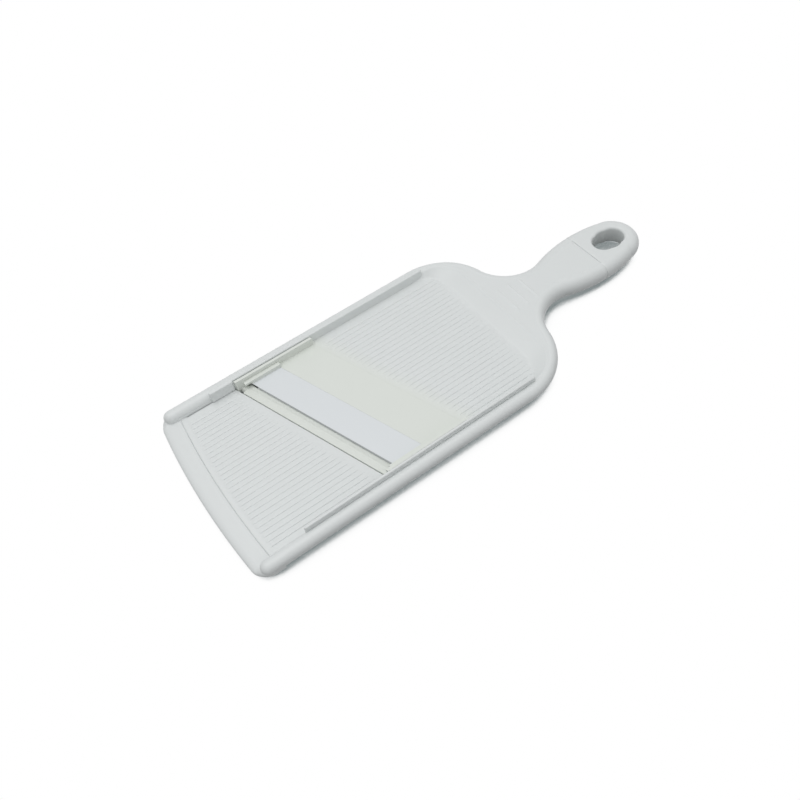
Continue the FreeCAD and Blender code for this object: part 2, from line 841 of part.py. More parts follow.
def make_cassette():
    """The cream carrier: landing, blade seat and a side plate with a snap bearing at each end."""
    across = (-half_cassette, half_cassette)
    land_end = size("land_end")
    land = slant_strip("land", (blade_back + fit_gap, land_end), across, (deck_under, size("deck_top")))
    seat = slant_strip("blade_seat", (size("seat_front"), land_end), across, (deck_under, blade_under))
    sides = [
        slant_strip(f"{side}_side_plate", (plate_rear + seat_gap, size("land_end")), limits,
                    (size("side_plate_bottom"), size("side_plate_top")))
        for side, limits in both_sides(plate_in, half_cassette)
    ]
    carrier = fuse("carrier", land, seat, *sides)
    span = (-half_board * 2, half_board * 2)
    bore = size("journal_diameter") / 2 + size("running_gap")
    half_mouth = size("journal_snap") / 2
    bearings = in_blade_frame(
        "bearings",
        rod("bearing_bore", bore, span, size("axis_z")),
        box("bearing_mouth", (-half_mouth, half_mouth), span, (0, size("axis_z"))),
    )
    tip = size("deck_top") - size("deck_thick") / 4
    holes = [
        screw_hole(f"land_thread_{i}", x, y, (0, tip))
        for i, (x, y) in enumerate(cassette_screw_spots())
    ]
    peg_hole = size("peg_diameter") / 2 + size("running_gap")
    holes += [
        cylinder(f"peg_hole_{i}", peg_hole, x, y, (deck_under - fit_gap, size("deck_top")))
        for i, (x, y) in enumerate(peg_spots())
    ]
    return cut("cassette_cut", carrier, bearings, *holes)


def make_cassette_screws():
    head = deck_under - size("flange_thick")
    tip = size("deck_top") - size("deck_thick") / 2
    return group("cassette_screw_set", [
        screw(f"cassette_screw_{i}", x, y, head, tip) for i, (x, y) in enumerate(cassette_screw_spots())
    ])


def make_blade():
    """A ceramic strip with square back and an edge ground from below."""
    across = (-half_blade, half_blade)
    strip = slant_strip("blade_strip", (edge_back, blade_back), across, (blade_under, edge_z))
    lip = edge_z - size("edge_land")
    ground = profile("ground_side", [
        (edge_back, lip),
        (edge_back + size("bevel_width"), blade_under),
        (edge_back + size("bevel_width"), blade_under - seat_gap),
        (edge_back - seat_gap, blade_under - seat_gap),
        (edge_back - seat_gap, lip),
    ], (-half_board * 2, half_board * 2))
    return cut("blade_ground", strip, in_blade_frame("blade_bevel", ground))


def make_clamp(side, limits):
    """A ledge over one end of the blade, standing on the seat by a foot with two pegs."""
    middle = (limits[0] + limits[1]) / 2
    top = edge_z + size("clamp_height")
    xs = (slant_x(size("clamp_front"), middle), slant_x(size("clamp_rear"), middle))
    ledge = box(f"{side}_clamp_ledge", xs, limits, (edge_z, top))
    foot_ys = dict(both_sides(half_blade + fit_gap, plate_in - fit_gap))[side]
    foot = slant_strip(f"{side}_clamp_foot", (size("seat_front"), blade_back), foot_ys, (blade_under, top))
    pegs = [
        cylinder(f"{side}_peg_{i}", size("peg_diameter") / 2, x, y, (deck_under + fit_gap, top))
        for i, (x, y) in enumerate(peg_spots())
        if (y.value > 0) == (side == "left")
    ]
    nose_ys = (limits[0] - fit_gap, limits[1] + fit_gap)
    nose_zs = (0, size("axis_z") + sweep + size("nose_gap"))
    nose_room = slant_strip(f"{side}_nose_room", (-clear_sweep * 3, edge_back - fit_gap), nose_ys, nose_zs)
    return cut(f"{side}_clamp_cut", fuse(f"{side}_clamp_blank", ledge, foot, *pegs), nose_room)


# Thickness bar and its wheel

def origin_part(body, role):
    """One of a body's own planes or axes."""
    return next(item for item in body.Origin.OriginFeatures if item.Role == role)


def add_sketch(body, name, role, offset=0):
    """A sketch on one of the body's own planes, moved along its normal by a bound offset."""
    sketch = body.newObject("Sketcher::SketchObject", name)
    sketch.AttachmentSupport = [(origin_part(body, role), "")]
    sketch.MapMode = "FlatFace"
    bind(sketch, "AttachmentOffset.Base.z", offset)
    return sketch


def draw_circle(sketch, radius, x=0, y=0):
    """A circle with its radius and centre tied to the sheet."""
    centre = Vector(as_size(x).value, as_size(y).value, 0)
    index = sketch.addGeometry(Part.Circle(centre, Vector(0, 0, 1), as_size(radius).value))
    wanted = [("Radius", (index,), radius)]
    if as_size(x).value == 0:
        sketch.addConstraint(Sketcher.Constraint("PointOnObject", index, 3, -2))
    else:
        wanted.append(("DistanceX", (-1, 1, index, 3), x))
    if as_size(y).value == 0:
        sketch.addConstraint(Sketcher.Constraint("PointOnObject", index, 3, -1))
    else:
        wanted.append(("DistanceY", (-1, 1, index, 3), y))
    for kind, parts, amount in wanted:
        amount = as_size(amount)
        number = sketch.addConstraint(Sketcher.Constraint(kind, *parts, amount.value))
        sketch.setExpression(f"Constraints[{number}]", amount.text)


def feature(body, kind, name, sketch, length, **options):
    """A pad or pocket of a sketch with a bound length."""
    item = body.newObject(f"PartDesign::{kind}", name)
    item.Profile = sketch
    for option, setting in options.items():
        setattr(item, option, setting)
    bind(item, "Length", length)
    sketch.Visibility = False
    return item


def new_blade_body(name):
    """A body whose Y runs along the bar's axis."""
    body = doc.addObject("PartDesign::Body", name)
    to_blade_frame(body)
    place(body, size("axis_x"), 0, size("axis_z"))
    return body


def make_bar():
    """Four faces at four distances from the axis, between two round journals."""
    body = new_blade_body("bar")
    section = add_sketch(body, "bar_section", "XZ_Plane")
    draw_polygon(section, [
        (-face_front, -face_bottom), (face_rear, -face_bottom),
        (face_rear, face_top), (-face_front, face_top),
    ])
    square = feature(body, "Pad", "bar_square", section, half_section * 2, Midplane=True)
    doc.recompute()
    fillet = body.newObject("PartDesign::Fillet", "bar_corners")
    long_edges = [
        f"Edge{i}" for i, edge in enumerate(square.Shape.Edges, start=1)
        if abs(edge.BoundBox.YLength - half_section.value * 2) < 1e-6
    ]
    fillet.Base = (square, long_edges)
    bind(fillet, "Radius", size("section_round"))
    for name, length, back in (
        ("right_journal", journal_right, False), ("left_journal", journal_left, True),
    ):
        ring = add_sketch(body, name + "_ring", "XZ_Plane")
        draw_circle(ring, size("journal_diameter") / 2)
        feature(body, "Pad", name, ring, length, Reversed=back)
    bore = add_sketch(body, "bar_bore_ring", "XZ_Plane", -journal_left)
    draw_circle(bore, size("screw_diameter") / 2 + fit_gap / 2)
    feature(body, "Pocket", "bar_bore", bore, size("screw_head") * 2, Reversed=True)
    return body


def make_wheel():
    """The thumb wheel, bored for the journal and fluted, with its screw head sunk in."""
    body = new_blade_body("wheel")
    rim = add_sketch(body, "wheel_ring", "XZ_Plane", -wheel_start)
    draw_circle(rim, size("wheel_radius"))
    feature(body, "Pad", "wheel_blank", rim, size("wheel_thick"), Reversed=True)
    bore = add_sketch(body, "wheel_bore_ring", "XZ_Plane", -wheel_start)
    draw_circle(bore, size("journal_diameter") / 2 + size("running_gap"))
    depth = journal_left - wheel_start + fit_gap
    feature(body, "Pocket", "wheel_bore", bore, depth)
    through = add_sketch(body, "wheel_through_ring", "XZ_Plane", -wheel_start)
    draw_circle(through, size("screw_diameter") / 2 + fit_gap / 2)
    feature(body, "Pocket", "wheel_through", through, size("wheel_thick") * 2)
    sunk = add_sketch(body, "wheel_sunk_ring", "XZ_Plane", -(journal_left + fit_gap + size("wheel_web")))
    draw_circle(sunk, size("screw_head") / 2 + fit_gap)
    feature(body, "Pocket", "wheel_sunk", sunk, size("wheel_thick"))
    flute = add_sketch(body, "wheel_flute_ring", "XZ_Plane", -wheel_start)
    draw_circle(flute, size("flute_radius"), 0, size("wheel_radius") + size("flute_radius") / 3)
    groove = feature(body, "Pocket", "wheel_flute", flute, size("wheel_thick") * 2)
    pattern = body.newObject("PartDesign::PolarPattern", "wheel_flutes")
    pattern.Originals = [groove]
    pattern.Axis = (origin_part(body, "Y_Axis"), [""])
    pattern.Angle = 360
    pattern.Occurrences = FLUTES
    body.Tip = pattern
    return body


def make_wheel_screw():
    """The screw along the axis that holds the wheel on its journal."""
    seat = journal_left + fit_gap + size("wheel_web")
    return in_blade_frame(
        "wheel_screw_set",
        rod("wheel_screw_head", size("screw_head") / 2, (seat, wheel_end - fit_gap), size("axis_z")),
        rod("wheel_screw_shank", size("screw_diameter") / 2,
            (journal_left - size("screw_head") * 1.8, seat + fit_gap), size("axis_z")),
    )


def leaf_top():
    """Underside of the pad that the leaf is screwed to."""
    return size("axis_z") - fit_gap * 2


def wheel_middle():
    """Board X and Y of the wheel's centre."""
    along = wheel_start + size("wheel_thick") / 2
    return size("axis_x") - along * lean, along * upright


def leaf_run():
    """The leaf's X limits, ending just ahead of the wheel."""
    reach = size("wheel_radius") * upright + size("wheel_thick") / 2 * lean
    finger = wheel_middle()[0] - reach - size("wheel_gap")
    return finger - size("leaf_reach"), finger


def leaf_sides():
    """The leaf's Y limits, level with the wheel's middle."""
    middle = wheel_middle()[1]
    return middle - size("leaf_width") / 2, middle + size("leaf_width") / 2


def leaf_screw_spot():
    """Board X and Y of the leaf's screw."""
    return leaf_run()[0] + size("screw_head") * 0.7, wheel_middle()[1]


def make_leaf():
    """A flat leaf bent down beside the wheel, with a nose that clicks into its flutes."""
    run = leaf_run()
    top = leaf_top()
    thick = size("leaf_thick")
    base = box("leaf_base", run, leaf_sides(), (top - thick, top))
    low = top - thick - size("leaf_drop")
    finger = box("leaf_finger", (run[1] - thick, run[1]), leaf_sides(), (low, top - thick / 2))
    nose_xs = (run[1] - thick / 2, run[1] + size("wheel_gap") / 2)
    nose = box("leaf_nose", nose_xs, leaf_sides(), (low + thick, low + thick * 3))
    x, y = leaf_screw_spot()
    hole = screw_hole("leaf_screw_hole", x, y, (0, size("rim_z")))
    return cut("leaf_cut", fuse("leaf_bent", base, finger, nose), hole)


def make_leaf_screw():
    x, y = leaf_screw_spot()
    tip = size("rim_z") - size("screw_diameter") / 2
    return screw("leaf_screw", x, y, leaf_top() - size("leaf_thick"), tip)


# Grip cover and end section

def cover_screw_xs():
    """The cover's two screws, one near each end."""
    inset = size("boss_radius") + seat_gap * 2
    return [size("cavity_start_x") + inset, spigot_start_x - inset]


def make_cover():
    """The plate that closes the hollow grip from below, with sunk screw heads."""
    xs = (size("cavity_start_x") + fit_gap, spigot_start_x - fit_gap)
    ys = (-half_cavity + fit_gap, half_cavity - fit_gap)
    blank = box("cover_blank", xs, ys, (size("grip_bottom"), cover_top))
    holes = []
    for i, x in enumerate(cover_screw_xs()):
        holes.append(screw_hole(f"cover_through_{i}", x, 0, (0, size("grip_top"))))
        sunk = (0, size("grip_bottom") + size("screw_head_thick"))
        holes.append(cylinder(f"cover_sunk_{i}", size("screw_head") / 2 + fit_gap, x, 0, sunk))
    return cut("cover_cut", blank, *holes)


def make_cover_screws():
    head = size("grip_bottom") + size("screw_head_thick")
    tip = cavity_top - size("screw_diameter") * 1.5
    screws = [screw(f"cover_screw_{i}", x, 0, head, tip) for i, x in enumerate(cover_screw_xs())]
    return group("cover_screw_set", screws)


def end_screw_x():
    return spigot_start_x + size("spigot_length") / 2


def hang_hole():
    """A long round-ended hole with eased rims, right through the end section."""
    low = value("grip_bottom")
    high = value("grip_top")
    ease = value("hang_hole_round")
    hole = Part.makeLoft([hole_ring(0, low - ease), hole_ring(0, high + ease)], True, True)
    for face, outward in ((low, -1), (high, 1)):
        flare = [hole_ring(2 * ease, face + ease * outward), hole_ring(0, face - ease * outward)]
        hole = hole.fuse(Part.makeLoft(flare, True, True))
    return hole.removeSplitter()


def hole_ring(extra, z):
    """The hanging hole's outline at a height, grown by an extra."""
    radius = value("hang_hole_wide") / 2 + extra
    half_run = (value("hang_hole_long") - value("hang_hole_wide")) / 2
    centre = value("hang_hole_x")
    left, right = (Vector(centre - half_run, 0, z), Vector(centre + half_run, 0, z))
    side = Vector(0, radius, 0)
    return Part.Wire([
        Part.LineSegment(left + side, right + side).toShape(),
        Part.Arc(right + side, right + Vector(radius, 0, 0), right - side).toShape(),
        Part.LineSegment(right - side, left - side).toShape(),
        Part.Arc(left - side, left - Vector(radius, 0, 0), left + side).toShape(),
    ])


def make_end():
    """The end section with its spigot in the hollow grip."""
    end_xs = (size("split_x") + size("split_gap"), size("tip_x"))
    keep = box("end_keep", end_xs, (-half_board, half_board), (0, size("rail_top")))
    outer = common("end_outer", grip_slab("end_slab"), keep)
    spigot_xs = (spigot_start_x, size("split_x") + size("split_gap") * 2)
    spigot_ys = (-half_cavity + fit_gap, half_cavity - fit_gap)
    spigot = box("spigot", spigot_xs, spigot_ys, (size("grip_bottom"), cavity_top - fit_gap))
    tools = [shaped("hang_hole", hang_hole())]
    tools.append(screw_hole("end_through", end_screw_x(), 0, (0, size("grip_top"))))
    sunk = (0, size("grip_bottom") + size("screw_head_thick"))
    tools.append(cylinder("end_sunk", size("screw_head") / 2 + fit_gap, end_screw_x(), 0, sunk))
    return cut("end_cut", fuse("end_blank", outer, spigot), *tools)


def make_end_screw():
    head = size("grip_bottom") + size("screw_head_thick")
    return screw("end_screw", end_screw_x(), 0, head, size("grip_top") - size("cavity_roof") / 2)


# Feet

def make_foot(name, x, limits):
    """A soft pad stuck under a corner block, with its lower edges eased."""
    body = doc.addObject("PartDesign::Body", name + "_pad")
    place(body, x, (limits[0] + limits[1]) / 2, 0)
    half_long = size("foot_length") / 2
    half_wide = size("foot_width") / 2
    sketch = add_sketch(body, name + "_plan", "XY_Plane")
    draw_polygon(sketch, [
        (-half_long, -half_wide), (half_long, -half_wide), (half_long, half_wide), (-half_long, half_wide),
    ])
    pad = feature(body, "Pad", name + "_block_pad", sketch, size("foot_thick"))
    doc.recompute()
    ease = body.newObject("PartDesign::Chamfer", name + "_ease")
    low_edges = [
        f"Edge{i}" for i, edge in enumerate(pad.Shape.Edges, start=1) if edge.BoundBox.ZMax < 1e-6
    ]
    ease.Base = (pad, low_edges)
    bind(ease, "Size", size("foot_thick") / 3)
    return body


# Assembly

node("body", make_body())
node("front_plate", make_front_plate())
node("plate_screws", make_plate_screws())
node("blade_cassette", make_cassette())
node("cassette_screws", make_cassette_screws())
node("ceramic_blade", make_blade())
for side, limits in both_sides(plate_in - fit_gap - size("clamp_width"), plate_in - fit_gap):
    node(f"{side}_blade_clamp", make_clamp(side, limits))
node("thickness_bar", make_bar())
node("adjuster_knob", make_wheel())
node("knob_screw", make_wheel_screw())
node("detent_spring", make_leaf())
node("detent_screw", make_leaf_screw())
node("handle_cover", make_cover())
node("handle_cover_screws", make_cover_screws())
node("handle_end", make_end())
node("handle_end_screw", make_end_screw())
for name, x, limits in foot_limits():
    node(name, make_foot(name, x, limits))
doc.recompute()

for item in doc.Objects:
    if "Invalid" in item.State or "Error" in item.State:
        raise RuntimeError(f"{item.Name} did not build: {item.State}")
for item in nodes:
    if item.Shape.isNull() or not item.Shape.isValid():
        raise RuntimeError(f"{item.Label} has no valid shape")
    item.Shape.exportStep(f"parts/{item.Label}.step")
    print(f"{item.Label}: {len(item.Shape.Solids)} solids, {item.Shape.Volume:.0f} cubic mm")
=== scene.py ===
"""White hand slicer: the moulded board, ribbed table, ceramic blade group and grip with a hanging hole.

The board runs along X with the grip at +X, +Y is the thumb wheel's side and Z is up.
Sizes of the board are written in millimetres and turned into metres where a mesh is made. The stage,
the grain's depth and the weld distance are in metres.
"""

import json
import math

import bmesh
import bpy
import numpy as np
from bpy.props import FloatProperty, FloatVectorProperty, IntProperty, PointerProperty
from mathutils import Matrix, Vector


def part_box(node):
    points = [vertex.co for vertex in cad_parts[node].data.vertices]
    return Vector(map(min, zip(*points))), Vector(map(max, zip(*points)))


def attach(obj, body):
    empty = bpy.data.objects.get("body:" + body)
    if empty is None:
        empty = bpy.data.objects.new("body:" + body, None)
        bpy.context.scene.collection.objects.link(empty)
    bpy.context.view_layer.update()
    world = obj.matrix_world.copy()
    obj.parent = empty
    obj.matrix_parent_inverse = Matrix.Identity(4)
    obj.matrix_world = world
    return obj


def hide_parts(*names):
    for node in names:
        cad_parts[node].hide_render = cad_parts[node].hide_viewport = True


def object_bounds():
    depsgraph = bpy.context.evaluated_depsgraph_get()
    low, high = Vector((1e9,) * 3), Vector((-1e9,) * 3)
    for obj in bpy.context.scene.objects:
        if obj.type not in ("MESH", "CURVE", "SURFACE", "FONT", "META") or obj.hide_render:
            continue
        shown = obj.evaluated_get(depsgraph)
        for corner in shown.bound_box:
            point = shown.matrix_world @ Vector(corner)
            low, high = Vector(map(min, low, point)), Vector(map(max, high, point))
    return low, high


bl_info = {
    "name": "Hand slicer",
    "version": (1, 0, 0),
    "blender": (4, 5, 0),
    "location": "View3D > Sidebar > Slicer",
    "description": "Builds the moulded surfaces and finishes of a hand slicer around its solids",
    "category": "Object",
}

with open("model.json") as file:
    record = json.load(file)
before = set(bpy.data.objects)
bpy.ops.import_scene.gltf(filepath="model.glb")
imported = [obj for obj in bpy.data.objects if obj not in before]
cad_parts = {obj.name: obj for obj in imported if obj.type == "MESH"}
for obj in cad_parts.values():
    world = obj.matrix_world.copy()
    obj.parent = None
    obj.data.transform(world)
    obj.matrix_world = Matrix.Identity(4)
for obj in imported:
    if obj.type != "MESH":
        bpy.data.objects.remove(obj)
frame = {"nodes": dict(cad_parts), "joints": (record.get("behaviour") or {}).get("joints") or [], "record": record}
SOLID_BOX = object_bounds()

MM = 0.001
WELD_DISTANCE = 2e-7
SHARP_ANGLE = math.radians(40.0)
TINY = 1e-6

# Plan of the board
FRONT_X = SOLID_BOX[0].x / MM
TIP_X = SOLID_BOX[1].x / MM
HALF_BOARD = SOLID_BOX[1].y / MM
FRONT_RADIUS = 540.0
CORNER_RADIUS = 11.0
SIDE_END_X = 24.0
SHOULDER_RADIUS = 40.0
NECK_RADIUS = 25.0
GRIP_RADIUS = 95.0
HALF_GRIP = 20.7
GRIP_TO_TIP = 39.2
SHOULDER_STEPS = 50
NECK_STEPS = 60
GRIP_STEPS = 38

# Split between the grip and its end section, with the groove along it
SPLIT_X = 124.0
SPLIT_GAP = 0.12
SEAM_DEPTH = 0.22
SEAM_REACH = 0.55
SEAM_NEAR = 2.5
SEAM_STEPS = 16

# Hanging hole and the end section round it
HOLE_X = 143.3
HOLE_LONG = 23.0
HOLE_WIDE = 14.6
HOLE_ROUND = 1.9
HOLE_ROUND_STEPS = 10
END_COLUMNS = 420
END_FACE_STEPS = 10
END_EDGE_STEPS = 22
END_LINE_STEPS = 200
END_TIP_STEPS = 300

# Round edge, which is a rim along the board and grows into the grip's side
RIM_RADIUS = 4.4
RIM_TOP = 15.3
RIM_BOTTOM = 6.5
RIM_SETBACK = 6.8
RIM_SIDES = 40
RIM_STEPS = 60
RIM_WHEEL_STEPS = 70
DOME_STEPS = 10
GRIP_EDGE = 6.0
GRIP_TOP = 17.0
GRIP_BOTTOM = 4.0
EDGE_WIDENS_X = 50.0
EDGE_WIDENS_OVER = 42.0
TOP_RISES_OVER = 46.0
BOTTOM_DROPS_OVER = 44.0
END_EDGE = 1.15 * GRIP_EDGE
END_EDGE_SHARE = 0.6

# Blade group, drawn along a line turned by the blade angle about the thickness bar's axis
BLADE_ANGLE = math.radians(19.5)
AXIS_X = frame["joints"][0]["pos_m"][0] / MM
AXIS_Z = frame["joints"][0]["pos_m"][2] / MM
PLATE_REAR = -4.7
LAND_END = 47.5
LAND_GAP = 0.03
WHEEL_ROOM = 6.2
WHEEL_NEAR = 1.3 * WHEEL_ROOM
NO_CEILING = -1.0

# Deck, with the recess at its rear and the ridges on the neck
DECK_TOP = 11.2
DECK_UNDER = 8.8
DECK_COLUMNS = 181
DECK_STEPS = 14
RECESS_STEPS = 90
RIDGED_STEPS = 50
GRIP_TOP_STEPS = 24
UNDER_DROPS_OVER = 8.0
UNDER_LIFT = 0.12
RECESS_FOOT_X = 39.5
RECESS_HEAD_X = 50.8
RECESS_FOOT_HALF = 55.4
RECESS_HEAD_HALF = 57.0
RECESS_FOOT_CORNER = 15.0
RECESS_HEAD_CORNER = 20.0
RECESS_RISES_OVER = 12.0
RECESS_BEND = 0.05
BEAD_OFFSET = 0.3
BEAD_REACH = 0.8
BEAD_X = 33.0
BEAD_FADE = 6.0
RIDGE_PLACES = (58.2, 66.1, 74.5)
RIDGE_REACH = 0.55
RIDGE_HALF = 10.9
RIDGE_FADE = 0.9
NECK_FRONT_X = 62.0
NECK_REAR_X = 78.0

# Front bar and front plate
BAR_TOP = 9.6
BAR_BOTTOM = 4.9
BAR_BACK_X = -146.0
BAR_ROUND = 2.3
BAR_EASE = 5.0
BAR_LOWER_ROUND = 2.4
BAR_LOWER_EASE = 3.0
BAR_INNER_EASE = 0.9
SWELL_HEIGHT = 2.2
SWELL_REACH = 2.4
BAR_EDGE_STEPS = 13
BAR_SIDE_STEPS = 12
BAR_CORNER_STEPS = 40
BAR_BOW_STEPS = 60
PLATE_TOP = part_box("front_plate")[1].z / MM
PLATE_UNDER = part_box("front_plate")[0].z / MM
PLATE_FRONT_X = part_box("front_plate")[0].x / MM
HALF_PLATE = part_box("front_plate")[1].y / MM
PLATE_FRONT_RADIUS = 560.0
PLATE_EASE = 0.8
PLATE_COLUMNS = 81
PLATE_STEPS = 12
PLATE_EDGE_STEPS = 7
PLATE_SEAM_DEPTH = 0.45
PLATE_SEAM_GAP = 0.03

# Ribs of the deck and the front plate
RIB_SIDES = 24
RIB_SQUARENESS = 0.52
RIB_SINK = 0.06
RIB_END_STEPS = 9
DECK_RIB_GAP = 0.8
DECK_RIB_OVERRUN = 1.5
DECK_RIB_EASE = 7.0
PLATE_RIB_GAP = 2.2
PLATE_RIB_REAR_GAP = 0.6
PLATE_RIB_EASE = 3.0
PLATE_RIB_REAR_EASE = 9.0

# Rails, and the thicker pad at the left one's front
RAIL_INNER = 55.8
RAIL_THICK = 1.8
RAIL_TOP = SOLID_BOX[1].z / MM
RAIL_FRONT_X = -128.0
RAIL_REAR_X = 30.9
RAIL_ROUND = 0.85
RAIL_STEPS = 8
PAD_THICK = 1.0
PAD_REAR_X = -112.2
PAD_PROUD = 0.2
PAD_CLEAR = 0.1
PAD_SINK = 0.3

# Walls, foot blocks and ledges of the underside
SKIRT_INNER = 56.0
SKIRT_THICK = 2.2
SKIRT_BOTTOM = 1.2
SKIRT_FRONT_X = -151.0
SKIRT_REAR_X = 36.0
SKIRT_STEPS = 40
SKIRT_WHEEL_STEPS = 60
SKIRT_EDGE_STEPS = 9
WALL_ROUND = 0.4
CROSS_WALL_INSET = 0.3
CROSS_WALL_LAP = 0.05
FRONT_WALL_TOP = BAR_TOP - 1.0
REAR_WALL_TOP = DECK_UNDER + 0.5
FEET = ("front_left_foot", "front_right_foot", "rear_left_foot", "rear_right_foot")
FOOT_MARGIN = 0.2
FRONT_BLOCK_TOP = PLATE_UNDER - 0.3
REAR_BLOCK_TOP = RIM_BOTTOM + RIM_RADIUS
LEDGE_DEPTH = 5.0
LEDGE_THICK = 2.2
LEDGE_ROUND = 0.3
LEDGE_LAP = 0.1
LEDGE_END = -7.5
FLANGE_HALF = 53.3
FLANGE_REACH = 6.0
FLANGE_THICK = 2.2

# Finishes, and the places of a Mix node's colour sockets
CLOUD_SHADE = (0.3, 0.32, 0.32, 1.0)
SHEEN_SWING = 0.05
GRAIN_DEPTH = 0.0001
TINT_AHEAD = 3.0
TINT_BEHIND = 14.0
MIX_FROM = 6
MIX_TO = 7
MIX_RESULT = 2

# Stage
FLOOR_HALF = 3.0
FLOOR_PAPER = (0.15, 0.155, 0.155, 1.0)
SHADE_REACH = 0.04
SHADE_SAMPLES = 16
# Painted shade on the floor: emitted tones by how much open sky (ambient occlusion) a point sees, darkest
# blue-grey in the hanging hole and round the object's foot, lighter again deep under the board
FLOOR_SHADES = (
    (0.12, (0.34, 0.36, 0.36, 1.0)),
    (0.36, (0.155, 0.19, 0.195, 1.0)),
    (0.45, (0.93, 0.935, 0.935, 1.0)),
    (0.60, (1.0, 1.0, 1.0, 1.0)),
)
SKY_COLOUR = (0.985, 0.99, 1.0, 1.0)
SKY_STRENGTH = 0.52
LAMPS = (
    ("key_light", (-0.11, 0.14, 1.13), 0.9, 5.4),
    ("side_fill", (-0.05, -0.95, 0.50), 0.8, 0.5),
)
CAMERA_PLACE = (-0.16303, -0.25565, 0.38488)
CAMERA_RIGHT = (0.81406, -0.57302, -0.09454)
CAMERA_UP = (0.51369, 0.63449, 0.57753)
CAMERA_BACK = (-0.27095, -0.51872, 0.81088)
CAMERA_LENS = 34.99
CAMERA_SENSOR = 36.0
CAMERA_CLIP = 0.01


def smooth(share):
    """Cubic step that leaves 0 and reaches 1 level."""
    share = np.clip(share, 0.0, 1.0)
    return share * share * (3.0 - 2.0 * share)


def soft_ramp(share, ease):
    """Straight ramp from 0 to 1 whose two bends are rounded over the given share."""
    low = 0.5 * (share + np.sqrt(share * share + ease * ease))
    return 1.0 - 0.5 * ((1.0 - low) + np.sqrt((1.0 - low) ** 2 + ease * ease))


def slant_x(behind, y):
    """Board X of points that lie a distance behind the thickness bar's axis at board Y."""
    return AXIS_X + behind / math.cos(BLADE_ANGLE) - y * math.tan(BLADE_ANGLE)


def stations_by_wheel(start, end, y, steps, near_steps):
    """Places along X from start to end, closer together beside the thumb wheel at board Y."""
    wheel_x = slant_x(0.0, y)
    near = np.linspace(wheel_x - WHEEL_NEAR, wheel_x + WHEEL_NEAR, near_steps)
    return np.unique(np.concatenate([np.linspace(start, end, steps), near]))


def heading(vector):
    """Angle of a plan vector from +X."""
    return math.atan2(vector[1], vector[0])


def ways(turn):
    """Plan vectors of length 1 at an array of headings."""
    return np.stack([np.cos(turn), np.sin(turn)], axis=1)


# Grids and meshes

def grid_quads(rows, columns, wrap_rows=False, wrap_columns=False):
    """Corner numbers of every quad of a grid of points, as one array."""
    i = np.arange(rows if wrap_rows else rows - 1)
    j = np.arange(columns if wrap_columns else columns - 1)
    i, j = (axis.ravel() for axis in np.meshgrid(i, j, indexing="ij"))
    up = (i + 1) % rows
    on = (j + 1) % columns
    return np.stack([i * columns + j, up * columns + j, up * columns + on, i * columns + on], axis=1)


def tube(points):
    """Closed surface from rings of points (rows), with both end rings drawn to their middles."""
    poles = points[[0, -1]].mean(axis=1)
    first, last = np.repeat(poles[:, None, None], points.shape[1], axis=2)
    points = np.concatenate([first, points, last])
    return points.reshape(-1, 3), grid_quads(*points.shape[:2], wrap_columns=True)


def ring_tube(points):
    """Closed surface from rings of points whose last ring joins the first."""
    return points.reshape(-1, 3), grid_quads(*points.shape[:2], wrap_rows=True, wrap_columns=True)


def slab(top, bottom):
    """Closed surface between two grids of one shape: both faces and a wall round their border."""
    rows, columns = top.shape[:2]
    faces = grid_quads(rows, columns)
    count = rows * columns
    number = np.arange(count).reshape(rows, columns)
    border = np.concatenate([number[0, :-1], number[:-1, -1], number[-1, :0:-1], number[:0:-1, 0]])
    after = np.roll(border, -1)
    wall = np.stack([border, after, after + count, border + count], axis=1)
    points = np.concatenate([top.reshape(-1, 3), bottom.reshape(-1, 3)])
    return points, np.concatenate([faces, faces[:, ::-1] + count, wall])


def rounded_block(low, high, radius, steps=5):
    """A box with round edges: a sphere of the edge radius cut in eight and moved to the box's corners."""
    low, high = (np.array(corner, float) for corner in (low, high))
    core = (high - low) / 2 - radius
    quarter = np.linspace(0.0, math.pi / 2, steps)
    turn = np.concatenate([quarter + k * math.pi / 2 for k in range(4)])
    side = np.repeat([[1, 1], [-1, 1], [-1, -1], [1, -1]], steps, axis=0)
    tilt = np.concatenate([quarter - math.pi / 2, quarter])
    lift = np.repeat([-1, 1], steps)
    points = np.empty((len(tilt), len(turn), 3))
    points[..., 0] = np.cos(tilt)[:, None] * np.cos(turn) * radius + side[:, 0] * core[0]
    points[..., 1] = np.cos(tilt)[:, None] * np.sin(turn) * radius + side[:, 1] * core[1]
    points[..., 2] = (np.sin(tilt) * radius + lift * core[2])[:, None]
    return tube(points + (low + high) / 2)


def make_piece(name, surfaces):
    """Join closed surfaces, given in millimetres, into one mesh object with welded seams and poles."""
    start = 0
    points, faces = [], []
    for surface_points, surface_faces in surfaces:
        points.append(surface_points)
        faces.append(surface_faces + start)
        start += len(surface_points)
    mesh = bpy.data.meshes.new(name)
    mesh.from_pydata((np.concatenate(points) * MM).tolist(), [], np.concatenate(faces).tolist())
    work = bmesh.new()
    work.from_mesh(mesh)
    bmesh.ops.remove_doubles(work, verts=work.verts, dist=WELD_DISTANCE)
    bmesh.ops.recalc_face_normals(work, faces=work.faces)
    work.to_mesh(mesh)
    work.free()
    mesh.shade_smooth()
    mesh.set_sharp_from_angle(angle=SHARP_ANGLE)
    piece = bpy.data.objects.new(name, mesh)
    bpy.context.scene.collection.objects.link(piece)
    return piece


def settle(piece, material, solid):
    """Give a piece its finish, let it ride on the board and stand for the solid that it shows."""
    piece.data.materials.append(material)
    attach(piece, "board")
    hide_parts(solid)


# Outline of the board

